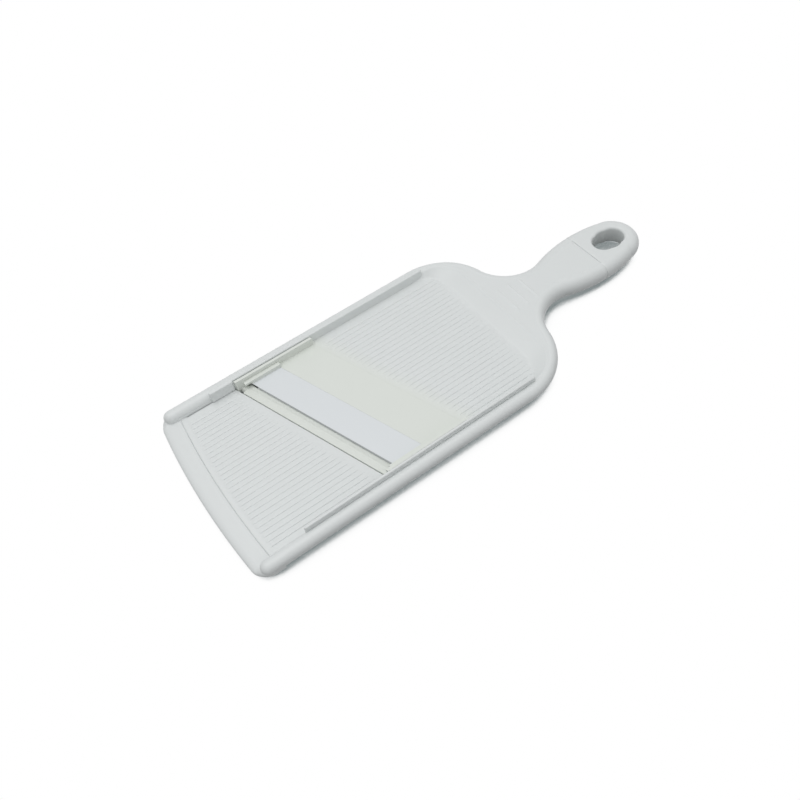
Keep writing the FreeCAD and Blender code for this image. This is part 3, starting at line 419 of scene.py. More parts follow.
def outline_circles():
    """Centres of the shoulder, neck, grip and end arcs of the upper half, and the end's radius."""
    shoulder = np.array([SIDE_END_X, HALF_BOARD - SHOULDER_RADIUS])
    grip = np.array([TIP_X - GRIP_TO_TIP, HALF_GRIP - GRIP_RADIUS])
    span = np.linalg.norm(grip - shoulder)
    reach = SHOULDER_RADIUS + NECK_RADIUS
    along = (reach ** 2 - (GRIP_RADIUS + NECK_RADIUS) ** 2 + span ** 2) / (2 * span)
    aside = math.sqrt(reach ** 2 - along ** 2)
    ahead = (grip - shoulder) / span
    neck = shoulder + ahead * along + np.array([-ahead[1], ahead[0]]) * aside
    end_radius = (GRIP_RADIUS ** 2 - GRIP_TO_TIP ** 2 - grip[1] ** 2) / (2 * (GRIP_RADIUS - GRIP_TO_TIP))
    end = np.array([TIP_X - end_radius, 0.0])
    return shoulder, neck, grip, end, end_radius


def side_outline():
    """Points and outward directions along the upper side, from the front end to the grip's split."""
    shoulder, neck, grip = outline_circles()[:3]
    start_x = FRONT_X + RIM_SETBACK + RIM_RADIUS
    straight = stations_by_wheel(start_x, SIDE_END_X, HALF_BOARD - RIM_RADIUS, RIM_STEPS, RIM_WHEEL_STEPS)
    points = [np.stack([straight, np.full_like(straight, HALF_BOARD)], axis=1)]
    outward = [np.tile([0.0, 1.0], (len(straight), 1))]
    way = ways(np.linspace(math.pi / 2, heading(neck - shoulder), SHOULDER_STEPS)[1:])
    points.append(shoulder + way * SHOULDER_RADIUS)
    outward.append(way)
    turn = np.unwrap([heading(shoulder - neck), heading(grip - neck)])
    way = ways(np.linspace(*turn, NECK_STEPS)[1:])
    points.append(neck + way * NECK_RADIUS)
    outward.append(-way)
    last = math.acos((SPLIT_X - grip[0]) / GRIP_RADIUS)
    near = last + SEAM_NEAR / GRIP_RADIUS
    turn = np.concatenate([
        np.linspace(heading(neck - grip), near, GRIP_STEPS)[1:],
        np.linspace(near, last, SEAM_STEPS)[1:],
    ])
    way = ways(turn)
    points.append(grip + way * GRIP_RADIUS)
    outward.append(way)
    return np.concatenate(points), np.concatenate(outward)


def edge_sizes(x):
    """Half-width, top and bottom of the round edge, which grows from the rim to the grip along X."""
    half_width = RIM_RADIUS + (GRIP_EDGE - RIM_RADIUS) * smooth((x - EDGE_WIDENS_X) / EDGE_WIDENS_OVER)
    top = RIM_TOP + (GRIP_TOP - RIM_TOP) * smooth((x - SIDE_END_X) / TOP_RISES_OVER)
    bottom = RIM_BOTTOM + (GRIP_BOTTOM - RIM_BOTTOM) * smooth((x - SIDE_END_X) / BOTTOM_DROPS_OVER)
    return half_width, top, bottom


def seam_share(x):
    """Share of the grip's section left near the split, where both sides ease into a shallow groove."""
    return 1.0 - SEAM_DEPTH / GRIP_EDGE * np.exp(-((x - SPLIT_X) / SEAM_REACH) ** 2)


def edge_line():
    """Middle line of the round edge with its outward directions and half-widths."""
    points, outward = side_outline()
    half_width = edge_sizes(points[:, 0])[0]
    return points - outward * half_width[:, None], outward, half_width


def inner_half(x):
    """Half the distance between the two edges' middle lines at X."""
    line = edge_line()[0]
    return np.interp(x, line[:, 0], line[:, 1])


def wheel_arch(x, y):
    """Ceiling of the thumb wheel's notch: a half circle over the thickness bar's axis, and none elsewhere."""
    behind = (x - AXIS_X) * math.cos(BLADE_ANGLE) + y * math.sin(BLADE_ANGLE)
    inside = np.clip(WHEEL_ROOM ** 2 - behind ** 2, 0.0, None)
    return np.where(np.abs(behind) < WHEEL_ROOM, AXIS_Z + np.sqrt(inside), NO_CEILING)


def rim_surface(side):
    """Ellipse carried along the edge's middle line, with a domed front and, on side 1, the wheel's notch."""
    line, outward, half_width = edge_line()
    top, bottom = edge_sizes(line[:, 0])[1:]
    turn = np.linspace(0.0, 2 * math.pi, RIM_SIDES, endpoint=False)
    rings = np.empty((len(line), len(turn), 3))
    share = seam_share(line[:, 0])[:, None]
    reach = half_width[:, None] * share * np.cos(turn)
    rings[..., :2] = line[:, None] + outward[:, None] * reach[..., None]
    rings[..., 2] = ((top + bottom) / 2)[:, None] + ((top - bottom) / 2)[:, None] * share * np.sin(turn)
    tilt = np.linspace(math.pi / 2, 0.0, DOME_STEPS, endpoint=False)
    middle = rings[0].mean(axis=0)
    dome = middle + (rings[0] - middle) * np.cos(tilt)[:, None, None]
    dome[..., 0] -= RIM_RADIUS * np.sin(tilt)[:, None]
    rings = np.concatenate([dome, rings])
    rings[..., 1] *= side
    if side > 0:
        rings[..., 2] = np.maximum(rings[..., 2], wheel_arch(rings[..., 0], rings[..., 1]))
    return tube(rings)


# Deck, recess, neck and grip

def corner_distance(x, y, rear, half, corner):
    """Signed distance to a tray's rear end: straight sides, straight rear and round corners."""
    dx = x - (rear - corner)
    dy = np.abs(y) - (half - corner)
    outside = np.hypot(np.maximum(dx, 0.0), np.maximum(dy, 0.0))
    return outside + np.minimum(np.maximum(dx, dy), 0.0) - corner


def rib_surfaces(sizes, start, end, base, ease_in, ease_out):
    """Low flat-topped ribs along X: a squared oval carried from start(y) to end(y), sinking at both ends."""
    turn = np.linspace(0.0, 2 * math.pi, RIB_SIDES, endpoint=False)
    across, up = (np.sign(wave) * np.abs(wave) ** RIB_SQUARENESS for wave in (np.cos(turn), np.sin(turn)))
    place = (np.arange(sizes.rib_count) - (sizes.rib_count - 1) / 2) * sizes.rib_pitch / MM
    share = np.linspace(0.0, 1.0, RIB_END_STEPS)
    run = (end(place) - start(place))[:, None]
    along = np.concatenate([np.tile(ease_in * share, (len(place), 1)), run - ease_out * share[::-1]], axis=1)
    lift = smooth(np.concatenate([share, share[::-1]]))
    ribs = np.empty((len(place), len(lift), RIB_SIDES, 3))
    ribs[..., 0] = (start(place)[:, None] + along)[..., None]
    ribs[..., 1] = place[:, None, None] + across * sizes.rib_width / MM / 2
    ribs[..., 2] = base + (lift[:, None] * (up * sizes.rib_height / MM + RIB_SINK) - RIB_SINK)
    return [tube(rib) for rib in ribs]


def deck_rib_surfaces(sizes):
    """Ribs from just behind the landing to the foot of the recess's rear wall."""
    def start(y):
        return slant_x(LAND_END + DECK_RIB_GAP, y)

    def end(y):
        return np.full_like(y, RECESS_FOOT_X + DECK_RIB_OVERRUN)

    return rib_surfaces(sizes, start, end, DECK_TOP, DECK_RIB_EASE, DECK_RIB_EASE)


def plate_rib_surfaces(sizes):
    """Ribs from behind the plate's front edge to just ahead of its slanted rear edge."""
    def start(y):
        return plate_edge_x(y, 0.0) + PLATE_RIB_GAP

    def end(y):
        return slant_x(PLATE_REAR, y) - PLATE_RIB_REAR_GAP

    return rib_surfaces(sizes, start, end, PLATE_TOP, PLATE_RIB_EASE, PLATE_RIB_REAR_EASE)


def deck_top(sizes, x, y):
    """Height of the deck, the recess's leaning rear wall with its bead, and the ridged neck and grip."""
    high = edge_sizes(x)[1]
    past_foot = corner_distance(x, y, RECESS_FOOT_X, RECESS_FOOT_HALF, RECESS_FOOT_CORNER)
    past_head = corner_distance(x, y, RECESS_HEAD_X, RECESS_HEAD_HALF, RECESS_HEAD_CORNER)
    to_foot = np.maximum(past_foot, 0.0)
    to_head = np.maximum(-past_head, 0.0)
    share = to_foot / np.maximum(to_foot + to_head, TINY)
    rise = soft_ramp(share, RECESS_BEND) * smooth((x - SIDE_END_X) / RECESS_RISES_OVER)
    ridges = sum(np.exp(-((x - place) / RIDGE_REACH) ** 2) for place in RIDGE_PLACES)
    ridges = ridges * smooth((RIDGE_HALF - np.abs(y)) / RIDGE_FADE) * sizes.ridge_height / MM
    bead = np.exp(-((past_head - BEAD_OFFSET) / BEAD_REACH) ** 2)
    bead = bead * smooth((x - BEAD_X) / BEAD_FADE) * sizes.bead_height / MM
    seam = (1.0 - seam_share(x)) * (GRIP_TOP - GRIP_BOTTOM) / 2
    return DECK_TOP + (high - DECK_TOP) * rise + ridges + bead - seam


def deck_surface(sizes):
    """Sheet from the blade group's landing to the grip's split: a grid over X and the share of the width."""
    share = np.linspace(-1.0, 1.0, DECK_COLUMNS)
    front = np.linspace(0.0, 1.0, DECK_STEPS)
    rear = np.concatenate([
        np.linspace(SIDE_END_X, NECK_FRONT_X, RECESS_STEPS)[1:],
        np.linspace(NECK_FRONT_X, NECK_REAR_X, RIDGED_STEPS)[1:],
        np.linspace(NECK_REAR_X, SPLIT_X - SEAM_NEAR, GRIP_TOP_STEPS)[1:],
        np.linspace(SPLIT_X - SEAM_NEAR, SPLIT_X, SEAM_STEPS)[1:],
    ])
    y_front = share * inner_half(SIDE_END_X)
    x_start = slant_x(LAND_END + LAND_GAP, y_front)
    x = np.concatenate([
        x_start + (SIDE_END_X - x_start) * front[:, None],
        np.repeat(rear[:, None], len(share), axis=1),
    ])
    y = np.concatenate([np.repeat(y_front[None], len(front), axis=0), share * inner_half(rear)[:, None]])
    top = np.stack([x, y, deck_top(sizes, x, y)], axis=-1)
    drop = smooth((x - SIDE_END_X) / UNDER_DROPS_OVER)
    under = DECK_UNDER + (edge_sizes(x)[2] + UNDER_LIFT - DECK_UNDER) * drop
    bottom = np.stack([x, y, under], axis=-1)
    return slab(top, bottom)


# Front bar and front plate

def plate_edge_x(y, gap):
    """X of the bowed line along the plate's front edge, with a gap outside it."""
    radius = PLATE_FRONT_RADIUS + gap
    return PLATE_FRONT_X - gap + radius - np.sqrt(radius ** 2 - y ** 2)


def front_outline():
    """Points from the left side round both front corners to the right side."""
    front = np.array([FRONT_X + FRONT_RADIUS, 0.0])
    reach = math.sqrt((FRONT_RADIUS - CORNER_RADIUS) ** 2 - (HALF_BOARD - CORNER_RADIUS) ** 2)
    corner = np.array([front[0] - reach, HALF_BOARD - CORNER_RADIUS])
    lean = heading(corner - front)
    straight = np.linspace(BAR_BACK_X, corner[0], BAR_SIDE_STEPS, endpoint=False)
    side = np.stack([straight, np.full_like(straight, HALF_BOARD)], axis=1)
    bend = corner + CORNER_RADIUS * ways(np.linspace(math.pi / 2, lean, BAR_CORNER_STEPS, endpoint=False))
    bow = front + FRONT_RADIUS * ways(np.linspace(lean, math.pi, BAR_BOW_STEPS, endpoint=False))
    half = np.concatenate([side, bend, bow])
    middle = np.array([[FRONT_X, 0.0]])
    return np.concatenate([half, middle, half[::-1] * [1, -1]])


def corner_swell(points):
    """How far the bar rises to meet each rim's domed end: a bell curve of the distance from the dome."""
    ahead = np.minimum(points[..., 0] - (FRONT_X + RIM_SETBACK + RIM_RADIUS), 0.0)
    aside = np.abs(points[..., 1]) - (HALF_BOARD - RIM_RADIUS)
    away = np.maximum(np.hypot(ahead, aside) - RIM_RADIUS, 0.0)
    return SWELL_HEIGHT * np.exp(-(away / SWELL_REACH) ** 2) * smooth(aside / RIM_RADIUS + 1.0)


def front_bar_surface():
    """Section with three elliptic edges carried along the front outline, as wide as the way to the plate."""
    outer = front_outline()
    half_gap = HALF_PLATE + PLATE_SEAM_GAP
    inner_y = np.clip(outer[:, 1], -half_gap, half_gap)
    inner_x = np.maximum(plate_edge_x(np.abs(inner_y), PLATE_SEAM_GAP), outer[:, 0])
    inner = np.stack([inner_x, inner_y], axis=1)
    across = inner - outer
    width = np.linalg.norm(across, axis=1)
    across = across / width[:, None]
    quarter = np.linspace(0.0, math.pi / 2, BAR_EDGE_STEPS)
    lower = BAR_LOWER_EASE * (1 - np.cos(quarter[::-1]))
    upper = BAR_EASE * (1 - np.cos(quarter))
    depth = np.concatenate([
        np.repeat(lower[None], len(width), axis=0),
        np.repeat(upper[None], len(width), axis=0),
        width[:, None] - BAR_INNER_EASE * (1 - np.sin(quarter)),
        width[:, None],
    ], axis=1)
    height = np.concatenate([
        BAR_BOTTOM + BAR_LOWER_ROUND * (1 - np.sin(quarter[::-1])),
        BAR_TOP - BAR_ROUND * (1 - np.sin(quarter)),
        BAR_TOP - PLATE_SEAM_DEPTH * (1 - np.cos(quarter)),
        [BAR_BOTTOM],
    ])
    points = np.empty(depth.shape + (3,))
    points[..., :2] = outer[:, None] + across[:, None] * depth[..., None]
    points[..., 2] = height
    points[..., 2] += corner_swell(points) * (height - BAR_BOTTOM) / (BAR_TOP - BAR_BOTTOM)
    return tube(points)


def front_plate_surface():
    """Plate behind the front bar: a grid from its bowed front edge to its slanted rear edge, both eased."""
    y = np.linspace(-HALF_PLATE, HALF_PLATE, PLATE_COLUMNS)
    quarter = np.linspace(0.0, math.pi / 2, PLATE_EDGE_STEPS)
    easing = np.repeat(PLATE_EASE * (1 - np.cos(quarter))[:, None], len(y), axis=1)
    front = plate_edge_x(y, 0.0)
    rear = slant_x(PLATE_REAR, y)
    span = rear - front
    inner = PLATE_EASE + (span - 2 * PLATE_EASE) * np.linspace(0.0, 1.0, PLATE_STEPS)[1:-1, None]
    run = np.concatenate([easing, inner, span - easing[::-1]])
    x = front + run
    y = np.repeat(y[None], len(x), axis=0)
    close = np.minimum(run, span - run)
    drop = PLATE_SEAM_DEPTH * (1 - np.sqrt(1 - np.clip(1 - close / PLATE_EASE, 0.0, 1.0) ** 2))
    top = np.stack([x, y, PLATE_TOP - drop], axis=-1)
    bottom = np.stack([x, y, np.full_like(x, PLATE_UNDER)], axis=-1)
    return slab(top, bottom)


# Rails

def rail_surfaces(side):
    """Straight round-edged rail, and on side 1 the thicker round-edged pad at its front."""
    ys = sorted((side * RAIL_INNER, side * (RAIL_INNER + RAIL_THICK)))
    low = (RAIL_FRONT_X, ys[0], DECK_UNDER)
    high = (RAIL_REAR_X, ys[1], RAIL_TOP)
    surfaces = [rounded_block(low, high, RAIL_ROUND, RAIL_STEPS)]
    if side > 0:
        low = (RAIL_FRONT_X - PAD_PROUD, RAIL_INNER - PAD_THICK, PLATE_TOP + PAD_CLEAR)
        high = (PAD_REAR_X, RAIL_INNER + RAIL_THICK - PAD_SINK, RAIL_TOP - PAD_CLEAR)
        surfaces.append(rounded_block(low, high, RAIL_ROUND, RAIL_STEPS))
    return surfaces


# Underside

def skirt_wall(side):
    """Thin wall under the rim: a round-edged strip carried along X, on side 1 arched over the wheel."""
    stations = stations_by_wheel(
        SKIRT_FRONT_X, SKIRT_REAR_X, side * SKIRT_INNER, SKIRT_STEPS, SKIRT_WHEEL_STEPS)
    turn = np.linspace(math.pi, 2 * math.pi, SKIRT_EDGE_STEPS)
    half = SKIRT_THICK / 2
    rounding = np.sign(np.round(np.cos(turn), 6)) * (half - WALL_ROUND) + np.cos(turn) * WALL_ROUND
    across = np.concatenate([rounding, [half, -half]])
    rise = SKIRT_BOTTOM + WALL_ROUND + np.sin(turn) * WALL_ROUND
    height = np.concatenate([rise, [RIM_BOTTOM + RIM_RADIUS] * 2])
    points = np.empty((len(stations), len(across), 3))
    points[..., 0] = stations[:, None]
    points[..., 1] = side * (SKIRT_INNER + half) + across
    points[..., 2] = height
    if side > 0:
        arch = np.minimum(wheel_arch(points[..., 0], points[..., 1]), RIM_TOP - RIM_RADIUS / 2)
        points[..., 2] = np.maximum(points[..., 2], arch)
    return tube(points)


def slant_block(behind, y_limits, z_limits):
    """Flat block whose two long sides follow the blade: four plan corners at two heights."""
    y = np.array(y_limits)
    x = np.stack([slant_x(distance, y) for distance in behind])
    y = np.repeat(y[None], 2, axis=0)
    bottom, top = (np.stack([x, y, np.full_like(x, z)], axis=-1) for z in z_limits)
    return slab(top, bottom)


def underside_surfaces():
    """Walls, foot blocks, ledges and the landing's flange under the deck, most of them round-edged blocks."""
    surfaces = [skirt_wall(1), skirt_wall(-1)]
    wall_half = SKIRT_INNER + SKIRT_THICK - CROSS_WALL_INSET
    ledge_front = SKIRT_FRONT_X + SKIRT_THICK
    for start, end, top in (
        (SKIRT_FRONT_X, ledge_front, FRONT_WALL_TOP),
        (SKIRT_REAR_X - SKIRT_THICK, SKIRT_REAR_X, REAR_WALL_TOP),
    ):
        low = (start - CROSS_WALL_LAP, -wall_half, SKIRT_BOTTOM + CROSS_WALL_LAP)
        surfaces.append(rounded_block(low, (end, wall_half, top), WALL_ROUND))
    for foot in FEET:
        pad_low, pad_high = (np.array(corner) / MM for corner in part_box(foot))
        top = FRONT_BLOCK_TOP if foot.startswith("front") else REAR_BLOCK_TOP
        low = (*(pad_low[:2] - FOOT_MARGIN), pad_high[2])
        high = (*(pad_high[:2] + FOOT_MARGIN), top)
        surfaces.append(rounded_block(low, high, WALL_ROUND))
    ledge_under = PLATE_UNDER - LEDGE_THICK
    ledge_inner = SKIRT_INNER - LEDGE_DEPTH
    for side, end in ((1, slant_x(LEDGE_END, SKIRT_INNER)), (-1, slant_x(LEDGE_END, -ledge_inner))):
        ys = sorted((side * ledge_inner, side * (SKIRT_INNER + LEDGE_LAP)))
        low = (ledge_front, ys[0], ledge_under)
        surfaces.append(rounded_block(low, (end, ys[1], PLATE_UNDER), LEDGE_ROUND))
    low = (ledge_front - LEDGE_LAP, -SKIRT_INNER, ledge_under)
    high = (ledge_front + LEDGE_DEPTH, SKIRT_INNER, PLATE_UNDER)
    surfaces.append(rounded_block(low, high, LEDGE_ROUND))
    surfaces.append(slant_block(
        (LAND_END - FLANGE_REACH, LAND_END + FLANGE_REACH),
        (-FLANGE_HALF, FLANGE_HALF),
        (DECK_UNDER - FLANGE_THICK, DECK_UNDER),
    ))
    return surfaces


# End section of the grip

def around_hole(points, turn):
    """Distance from the hanging hole's middle to a closed line of points, for each heading."""
    found = np.arctan2(points[:, 1], points[:, 0] - HOLE_X)
    distance = np.hypot(points[:, 1], points[:, 0] - HOLE_X)
    order = np.argsort(found)
    return np.interp(turn, found[order], distance[order], period=2 * math.pi)


def end_line():
    """Closed plan of the end section: grip arcs, tip arc and the straight split."""
    grip, end, end_radius = outline_circles()[2:]
    start_x = SPLIT_X + SPLIT_GAP
    lean = heading(end - grip)
    first = math.acos((start_x - grip[0]) / GRIP_RADIUS)
    flank = grip + GRIP_RADIUS * ways(np.linspace(first, lean, END_LINE_STEPS))
    tip = end + end_radius * ways(np.linspace(lean, 0.0, END_TIP_STEPS))
    straight = np.linspace(0.0, flank[0, 1], END_LINE_STEPS)
    split = np.stack([np.full_like(straight, start_x), straight], axis=1)
    half = np.concatenate([split, flank, tip])
    return np.concatenate([half, half[::-1] * [1, -1]])


def end_depth(x, y):
    """Distance in from the rounded outline of the end section."""
    grip, end, end_radius = outline_circles()[2:]
    flank = GRIP_RADIUS - np.hypot(x - grip[0], np.abs(y) - grip[1])
    tip = end_radius - np.hypot(x - end[0], y - end[1])
    return np.where(x > end[0], np.minimum(flank, tip), flank)


def grip_end_surface():
    """Section carried round the hanging hole: hole wall, eased rim, flat face, round edge and back."""
    turn = np.linspace(-math.pi, math.pi, END_COLUMNS, endpoint=False)
    run = (HOLE_LONG - HOLE_WIDE) / 2
    cap = ways(np.linspace(-math.pi / 2, math.pi / 2, END_LINE_STEPS)) * HOLE_WIDE / 2 + [HOLE_X + run, 0.0]
    ring = np.concatenate([cap, np.stack([2 * HOLE_X - cap[:, 0], cap[:, 1]], axis=1)])
    hole = around_hole(ring, turn)
    outer = around_hole(end_line(), turn)
    quarter = np.linspace(0.0, math.pi / 2, HOLE_ROUND_STEPS)
    room = (outer - hole)[:, None]
    edge = np.minimum(END_EDGE, room * END_EDGE_SHARE)
    reach = np.concatenate([
        np.repeat(HOLE_ROUND * (1 - np.cos(quarter))[None], len(turn), axis=0),
        HOLE_ROUND + (room - edge - HOLE_ROUND) * np.linspace(0.0, 1.0, END_FACE_STEPS)[None, 1:-1],
        room - edge + edge * np.sin(np.linspace(0.0, math.pi / 2, END_EDGE_STEPS)),
    ], axis=1)
    distance = hole[:, None] + reach
    x = HOLE_X + distance * np.cos(turn)[:, None]
    y = distance * np.sin(turn)[:, None]
    middle = (GRIP_TOP + GRIP_BOTTOM) / 2
    inward = np.clip(1 - end_depth(x, y) / GRIP_EDGE, 0.0, 1.0)
    rise = (GRIP_TOP - GRIP_BOTTOM) / 2 * np.sqrt(1 - inward ** 2) * seam_share(x)
    from_hole = np.clip(HOLE_ROUND - reach, 0.0, HOLE_ROUND)
    rise -= HOLE_ROUND - np.sqrt(HOLE_ROUND ** 2 - from_hole ** 2)
    upper = np.stack([x, y, middle + rise], axis=-1)
    lower = np.stack([x, y, middle - rise], axis=-1)
    return ring_tube(np.concatenate([upper, lower[:, ::-1]], axis=1))


# Finishes

def node(tree, kind, **inputs):
    """Add a shader node and set or link its inputs by name."""
    item = tree.nodes.new(kind)
    for name, setting in inputs.items():
        socket = item.inputs[name]
        if isinstance(setting, bpy.types.NodeSocket):
            tree.links.new(setting, socket)
        else:
            socket.default_value = setting
    return item


def moulded_skin():
    """Shared effect of moulded surfaces: cloudy tone, uneven sheen and fine grain, in object space."""
    group = bpy.data.node_groups.new("moulded_skin", "ShaderNodeTree")
    for name, kind, start in (
        ("Colour", "NodeSocketColor", (0.8, 0.8, 0.8, 1.0)),
        ("Clouding", "NodeSocketFloat", 0.02),
        ("Roughness", "NodeSocketFloat", 0.4),
        ("Cloud Scale", "NodeSocketFloat", 40.0),
        ("Grain Scale", "NodeSocketFloat", 1800.0),
    ):
        socket = group.interface.new_socket(name, in_out="INPUT", socket_type=kind)
        socket.default_value = start
    for name, kind in (
        ("Colour", "NodeSocketColor"),
        ("Roughness", "NodeSocketFloat"),
        ("Grain", "NodeSocketFloat"),
    ):
        group.interface.new_socket(name, in_out="OUTPUT", socket_type=kind)
    given = group.nodes.new("NodeGroupInput").outputs
    place = node(group, "ShaderNodeTexCoord").outputs["Object"]
    cloud = node(group, "ShaderNodeTexNoise", Vector=place, Scale=given["Cloud Scale"], Detail=3.0)
    grain = node(group, "ShaderNodeTexNoise", Vector=place, Scale=given["Grain Scale"], Detail=2.0)
    dark = group.nodes.new("ShaderNodeMath")
    dark.operation = "MULTIPLY"
    group.links.new(cloud.outputs["Fac"], dark.inputs[0])
    group.links.new(given["Clouding"], dark.inputs[1])
    tone = group.nodes.new("ShaderNodeMix")
    tone.data_type = "RGBA"
    tone.blend_type = "MULTIPLY"
    group.links.new(dark.outputs[0], tone.inputs[0])
    group.links.new(given["Colour"], tone.inputs[MIX_FROM])
    tone.inputs[MIX_TO].default_value = CLOUD_SHADE
    sheen = group.nodes.new("ShaderNodeMapRange")
    group.links.new(grain.outputs["Fac"], sheen.inputs["Value"])
    sheen.inputs["To Min"].default_value = -SHEEN_SWING
    sheen.inputs["To Max"].default_value = SHEEN_SWING
    rough = group.nodes.new("ShaderNodeMath")
    rough.operation = "ADD"
    group.links.new(given["Roughness"], rough.inputs[0])
    group.links.new(sheen.outputs[0], rough.inputs[1])
    out = group.nodes.new("NodeGroupOutput")
    group.links.new(tone.outputs[MIX_RESULT], out.inputs["Colour"])
    group.links.new(rough.outputs[0], out.inputs["Roughness"])
    group.links.new(grain.outputs["Fac"], out.inputs["Grain"])
    return group


def finish(name, colour, roughness, clouding=0.03, bump=0.02, grain=1800.0, metallic=0.0):
    """A moulded, ground or rolled surface with the shared skin effect."""
    material = bpy.data.materials.new(name)
    material.use_nodes = True
    tree = material.node_tree
    shader = tree.nodes["Principled BSDF"]
    skin = tree.nodes.new("ShaderNodeGroup")
    skin.node_tree = bpy.data.node_groups.get("moulded_skin") or moulded_skin()
    skin.inputs["Colour"].default_value = (*colour, 1.0)
    skin.inputs["Clouding"].default_value = clouding
    skin.inputs["Roughness"].default_value = roughness
    skin.inputs["Grain Scale"].default_value = grain
    relief = tree.nodes.new("ShaderNodeBump")
    relief.inputs["Strength"].default_value = bump
    relief.inputs["Distance"].default_value = GRAIN_DEPTH
    tree.links.new(skin.outputs["Grain"], relief.inputs["Height"])
    tree.links.new(skin.outputs["Colour"], shader.inputs["Base Color"])
    tree.links.new(skin.outputs["Roughness"], shader.inputs["Roughness"])
    tree.links.new(relief.outputs["Normal"], shader.inputs["Normal"])
    shader.inputs["Metallic"].default_value = metallic
    return material


def tint_behind_landing(material, near, far):
    """Let a finish change from one tone by the landing's rear line to another a little behind it."""
    tree = material.node_tree
    skin = next(item for item in tree.nodes if item.bl_idname == "ShaderNodeGroup")
    place = node(tree, "ShaderNodeTexCoord").outputs["Object"]
    behind = tree.nodes.new("ShaderNodeVectorMath")
    behind.operation = "DOT_PRODUCT"
    tree.links.new(place, behind.inputs[0])
    behind.inputs[1].default_value = (math.cos(BLADE_ANGLE), math.sin(BLADE_ANGLE), 0.0)
    start = (AXIS_X * math.cos(BLADE_ANGLE) + LAND_END) * MM
    share = tree.nodes.new("ShaderNodeMapRange")
    share.interpolation_type = "SMOOTHSTEP"
    tree.links.new(behind.outputs["Value"], share.inputs["Value"])
    share.inputs["From Min"].default_value = start - TINT_AHEAD * MM
    share.inputs["From Max"].default_value = start + TINT_BEHIND * MM
    tone = tree.nodes.new("ShaderNodeMix")
    tone.data_type = "RGBA"
    tree.links.new(share.outputs[0], tone.inputs[0])
    tone.inputs[MIX_FROM].default_value = (*near, 1.0)
    tone.inputs[MIX_TO].default_value = (*far, 1.0)
    tree.links.new(tone.outputs[MIX_RESULT], skin.inputs["Colour"])


def finish_named(name):
    """One of the slicer's finishes, made on first use."""
    found = bpy.data.materials.get(name)
    if found:
        return found
    tones = bpy.context.scene.slicer_tones
    recipes = {
        "board_plastic": dict(colour=tones.board, roughness=0.42),
        "deck_plastic": dict(colour=tones.board, roughness=0.42),
        "cassette_plastic": dict(colour=tones.cassette, roughness=0.45),
        "blade_ceramic_white": dict(colour=tones.blade, roughness=0.3, clouding=0.015, bump=0.01),
        "wheel_grey": dict(colour=tones.wheel, roughness=0.45),
        "screw_bright": dict(colour=tones.steel, roughness=0.34, metallic=1.0, bump=0.05, grain=900.0),
        "leaf_steel": dict(colour=tones.steel, roughness=0.42, metallic=1.0, bump=0.08, grain=600.0),
        "foot_pad": dict(colour=tones.foot, roughness=0.75, bump=0.12, grain=1200.0),
    }
    material = finish(name, **recipes[name])
    if name == "deck_plastic":
        tint_behind_landing(material, tones.cassette, tones.board)
    return material


# Stage

def seen_directly(tree):
    """1 for what the camera, a reflection or glass looks at, 0 for light that falls on things."""
    path = tree.nodes.new("ShaderNodeLightPath")
    total = path.outputs["Is Camera Ray"]
    for name in ("Is Glossy Ray", "Is Transmission Ray"):
        most = tree.nodes.new("ShaderNodeMath")
        most.operation = "MAXIMUM"
        tree.links.new(total, most.inputs[0])
        tree.links.new(path.outputs[name], most.inputs[1])
        total = most.outputs[0]
    return total


def mix_shaders(tree, share, first, second):
    """Join two shaders by a share that is 0 for the first and 1 for the second."""
    mix = tree.nodes.new("ShaderNodeMixShader")
    for source, socket in zip((share, first.outputs[0], second.outputs[0]), mix.inputs):
        tree.links.new(source, socket)
    return mix


def add_floor():
    """A wide pale floor, white where it sees the open sky, with painted shade under the object and clear from
    below.
    """
    mesh = bpy.data.meshes.new("floor")
    corners = [(x * FLOOR_HALF, y * FLOOR_HALF, 0.0) for x, y in ((-1, -1), (1, -1), (1, 1), (-1, 1))]
    mesh.from_pydata(corners, [], [(0, 1, 2, 3)])
    floor = bpy.data.objects.new("floor", mesh)
    bpy.context.scene.collection.objects.link(floor)
    material = bpy.data.materials.new("pale_floor")
    material.use_nodes = True
    tree = material.node_tree
    tree.nodes.remove(tree.nodes["Principled BSDF"])
    paper = node(tree, "ShaderNodeBsdfDiffuse", Color=FLOOR_PAPER)
    open_sky = node(tree, "ShaderNodeAmbientOcclusion", Distance=SHADE_REACH)
    open_sky.samples = SHADE_SAMPLES
    # Painted shade: the floor's emitted tone is read from its ambient occlusion through these stops
    shade = tree.nodes.new("ShaderNodeValToRGB")
    tree.links.new(open_sky.outputs["AO"], shade.inputs["Fac"])
    stops = shade.color_ramp.elements
    stops[0].position, stops[0].color = FLOOR_SHADES[0]
    stops[1].position, stops[1].color = FLOOR_SHADES[-1]
    for position, tone in FLOOR_SHADES[1:-1]:
        stops.new(position).color = tone
    glow = node(tree, "ShaderNodeEmission", Color=shade.outputs["Color"], Strength=1.0)
    above = mix_shaders(tree, seen_directly(tree), paper, glow)
    clear = tree.nodes.new("ShaderNodeBsdfTransparent")
    from_below = tree.nodes.new("ShaderNodeNewGeometry").outputs["Backfacing"]
    sides = mix_shaders(tree, from_below, above, clear)
    tree.links.new(sides.outputs[0], tree.nodes["Material Output"].inputs["Surface"])
    mesh.materials.append(material)


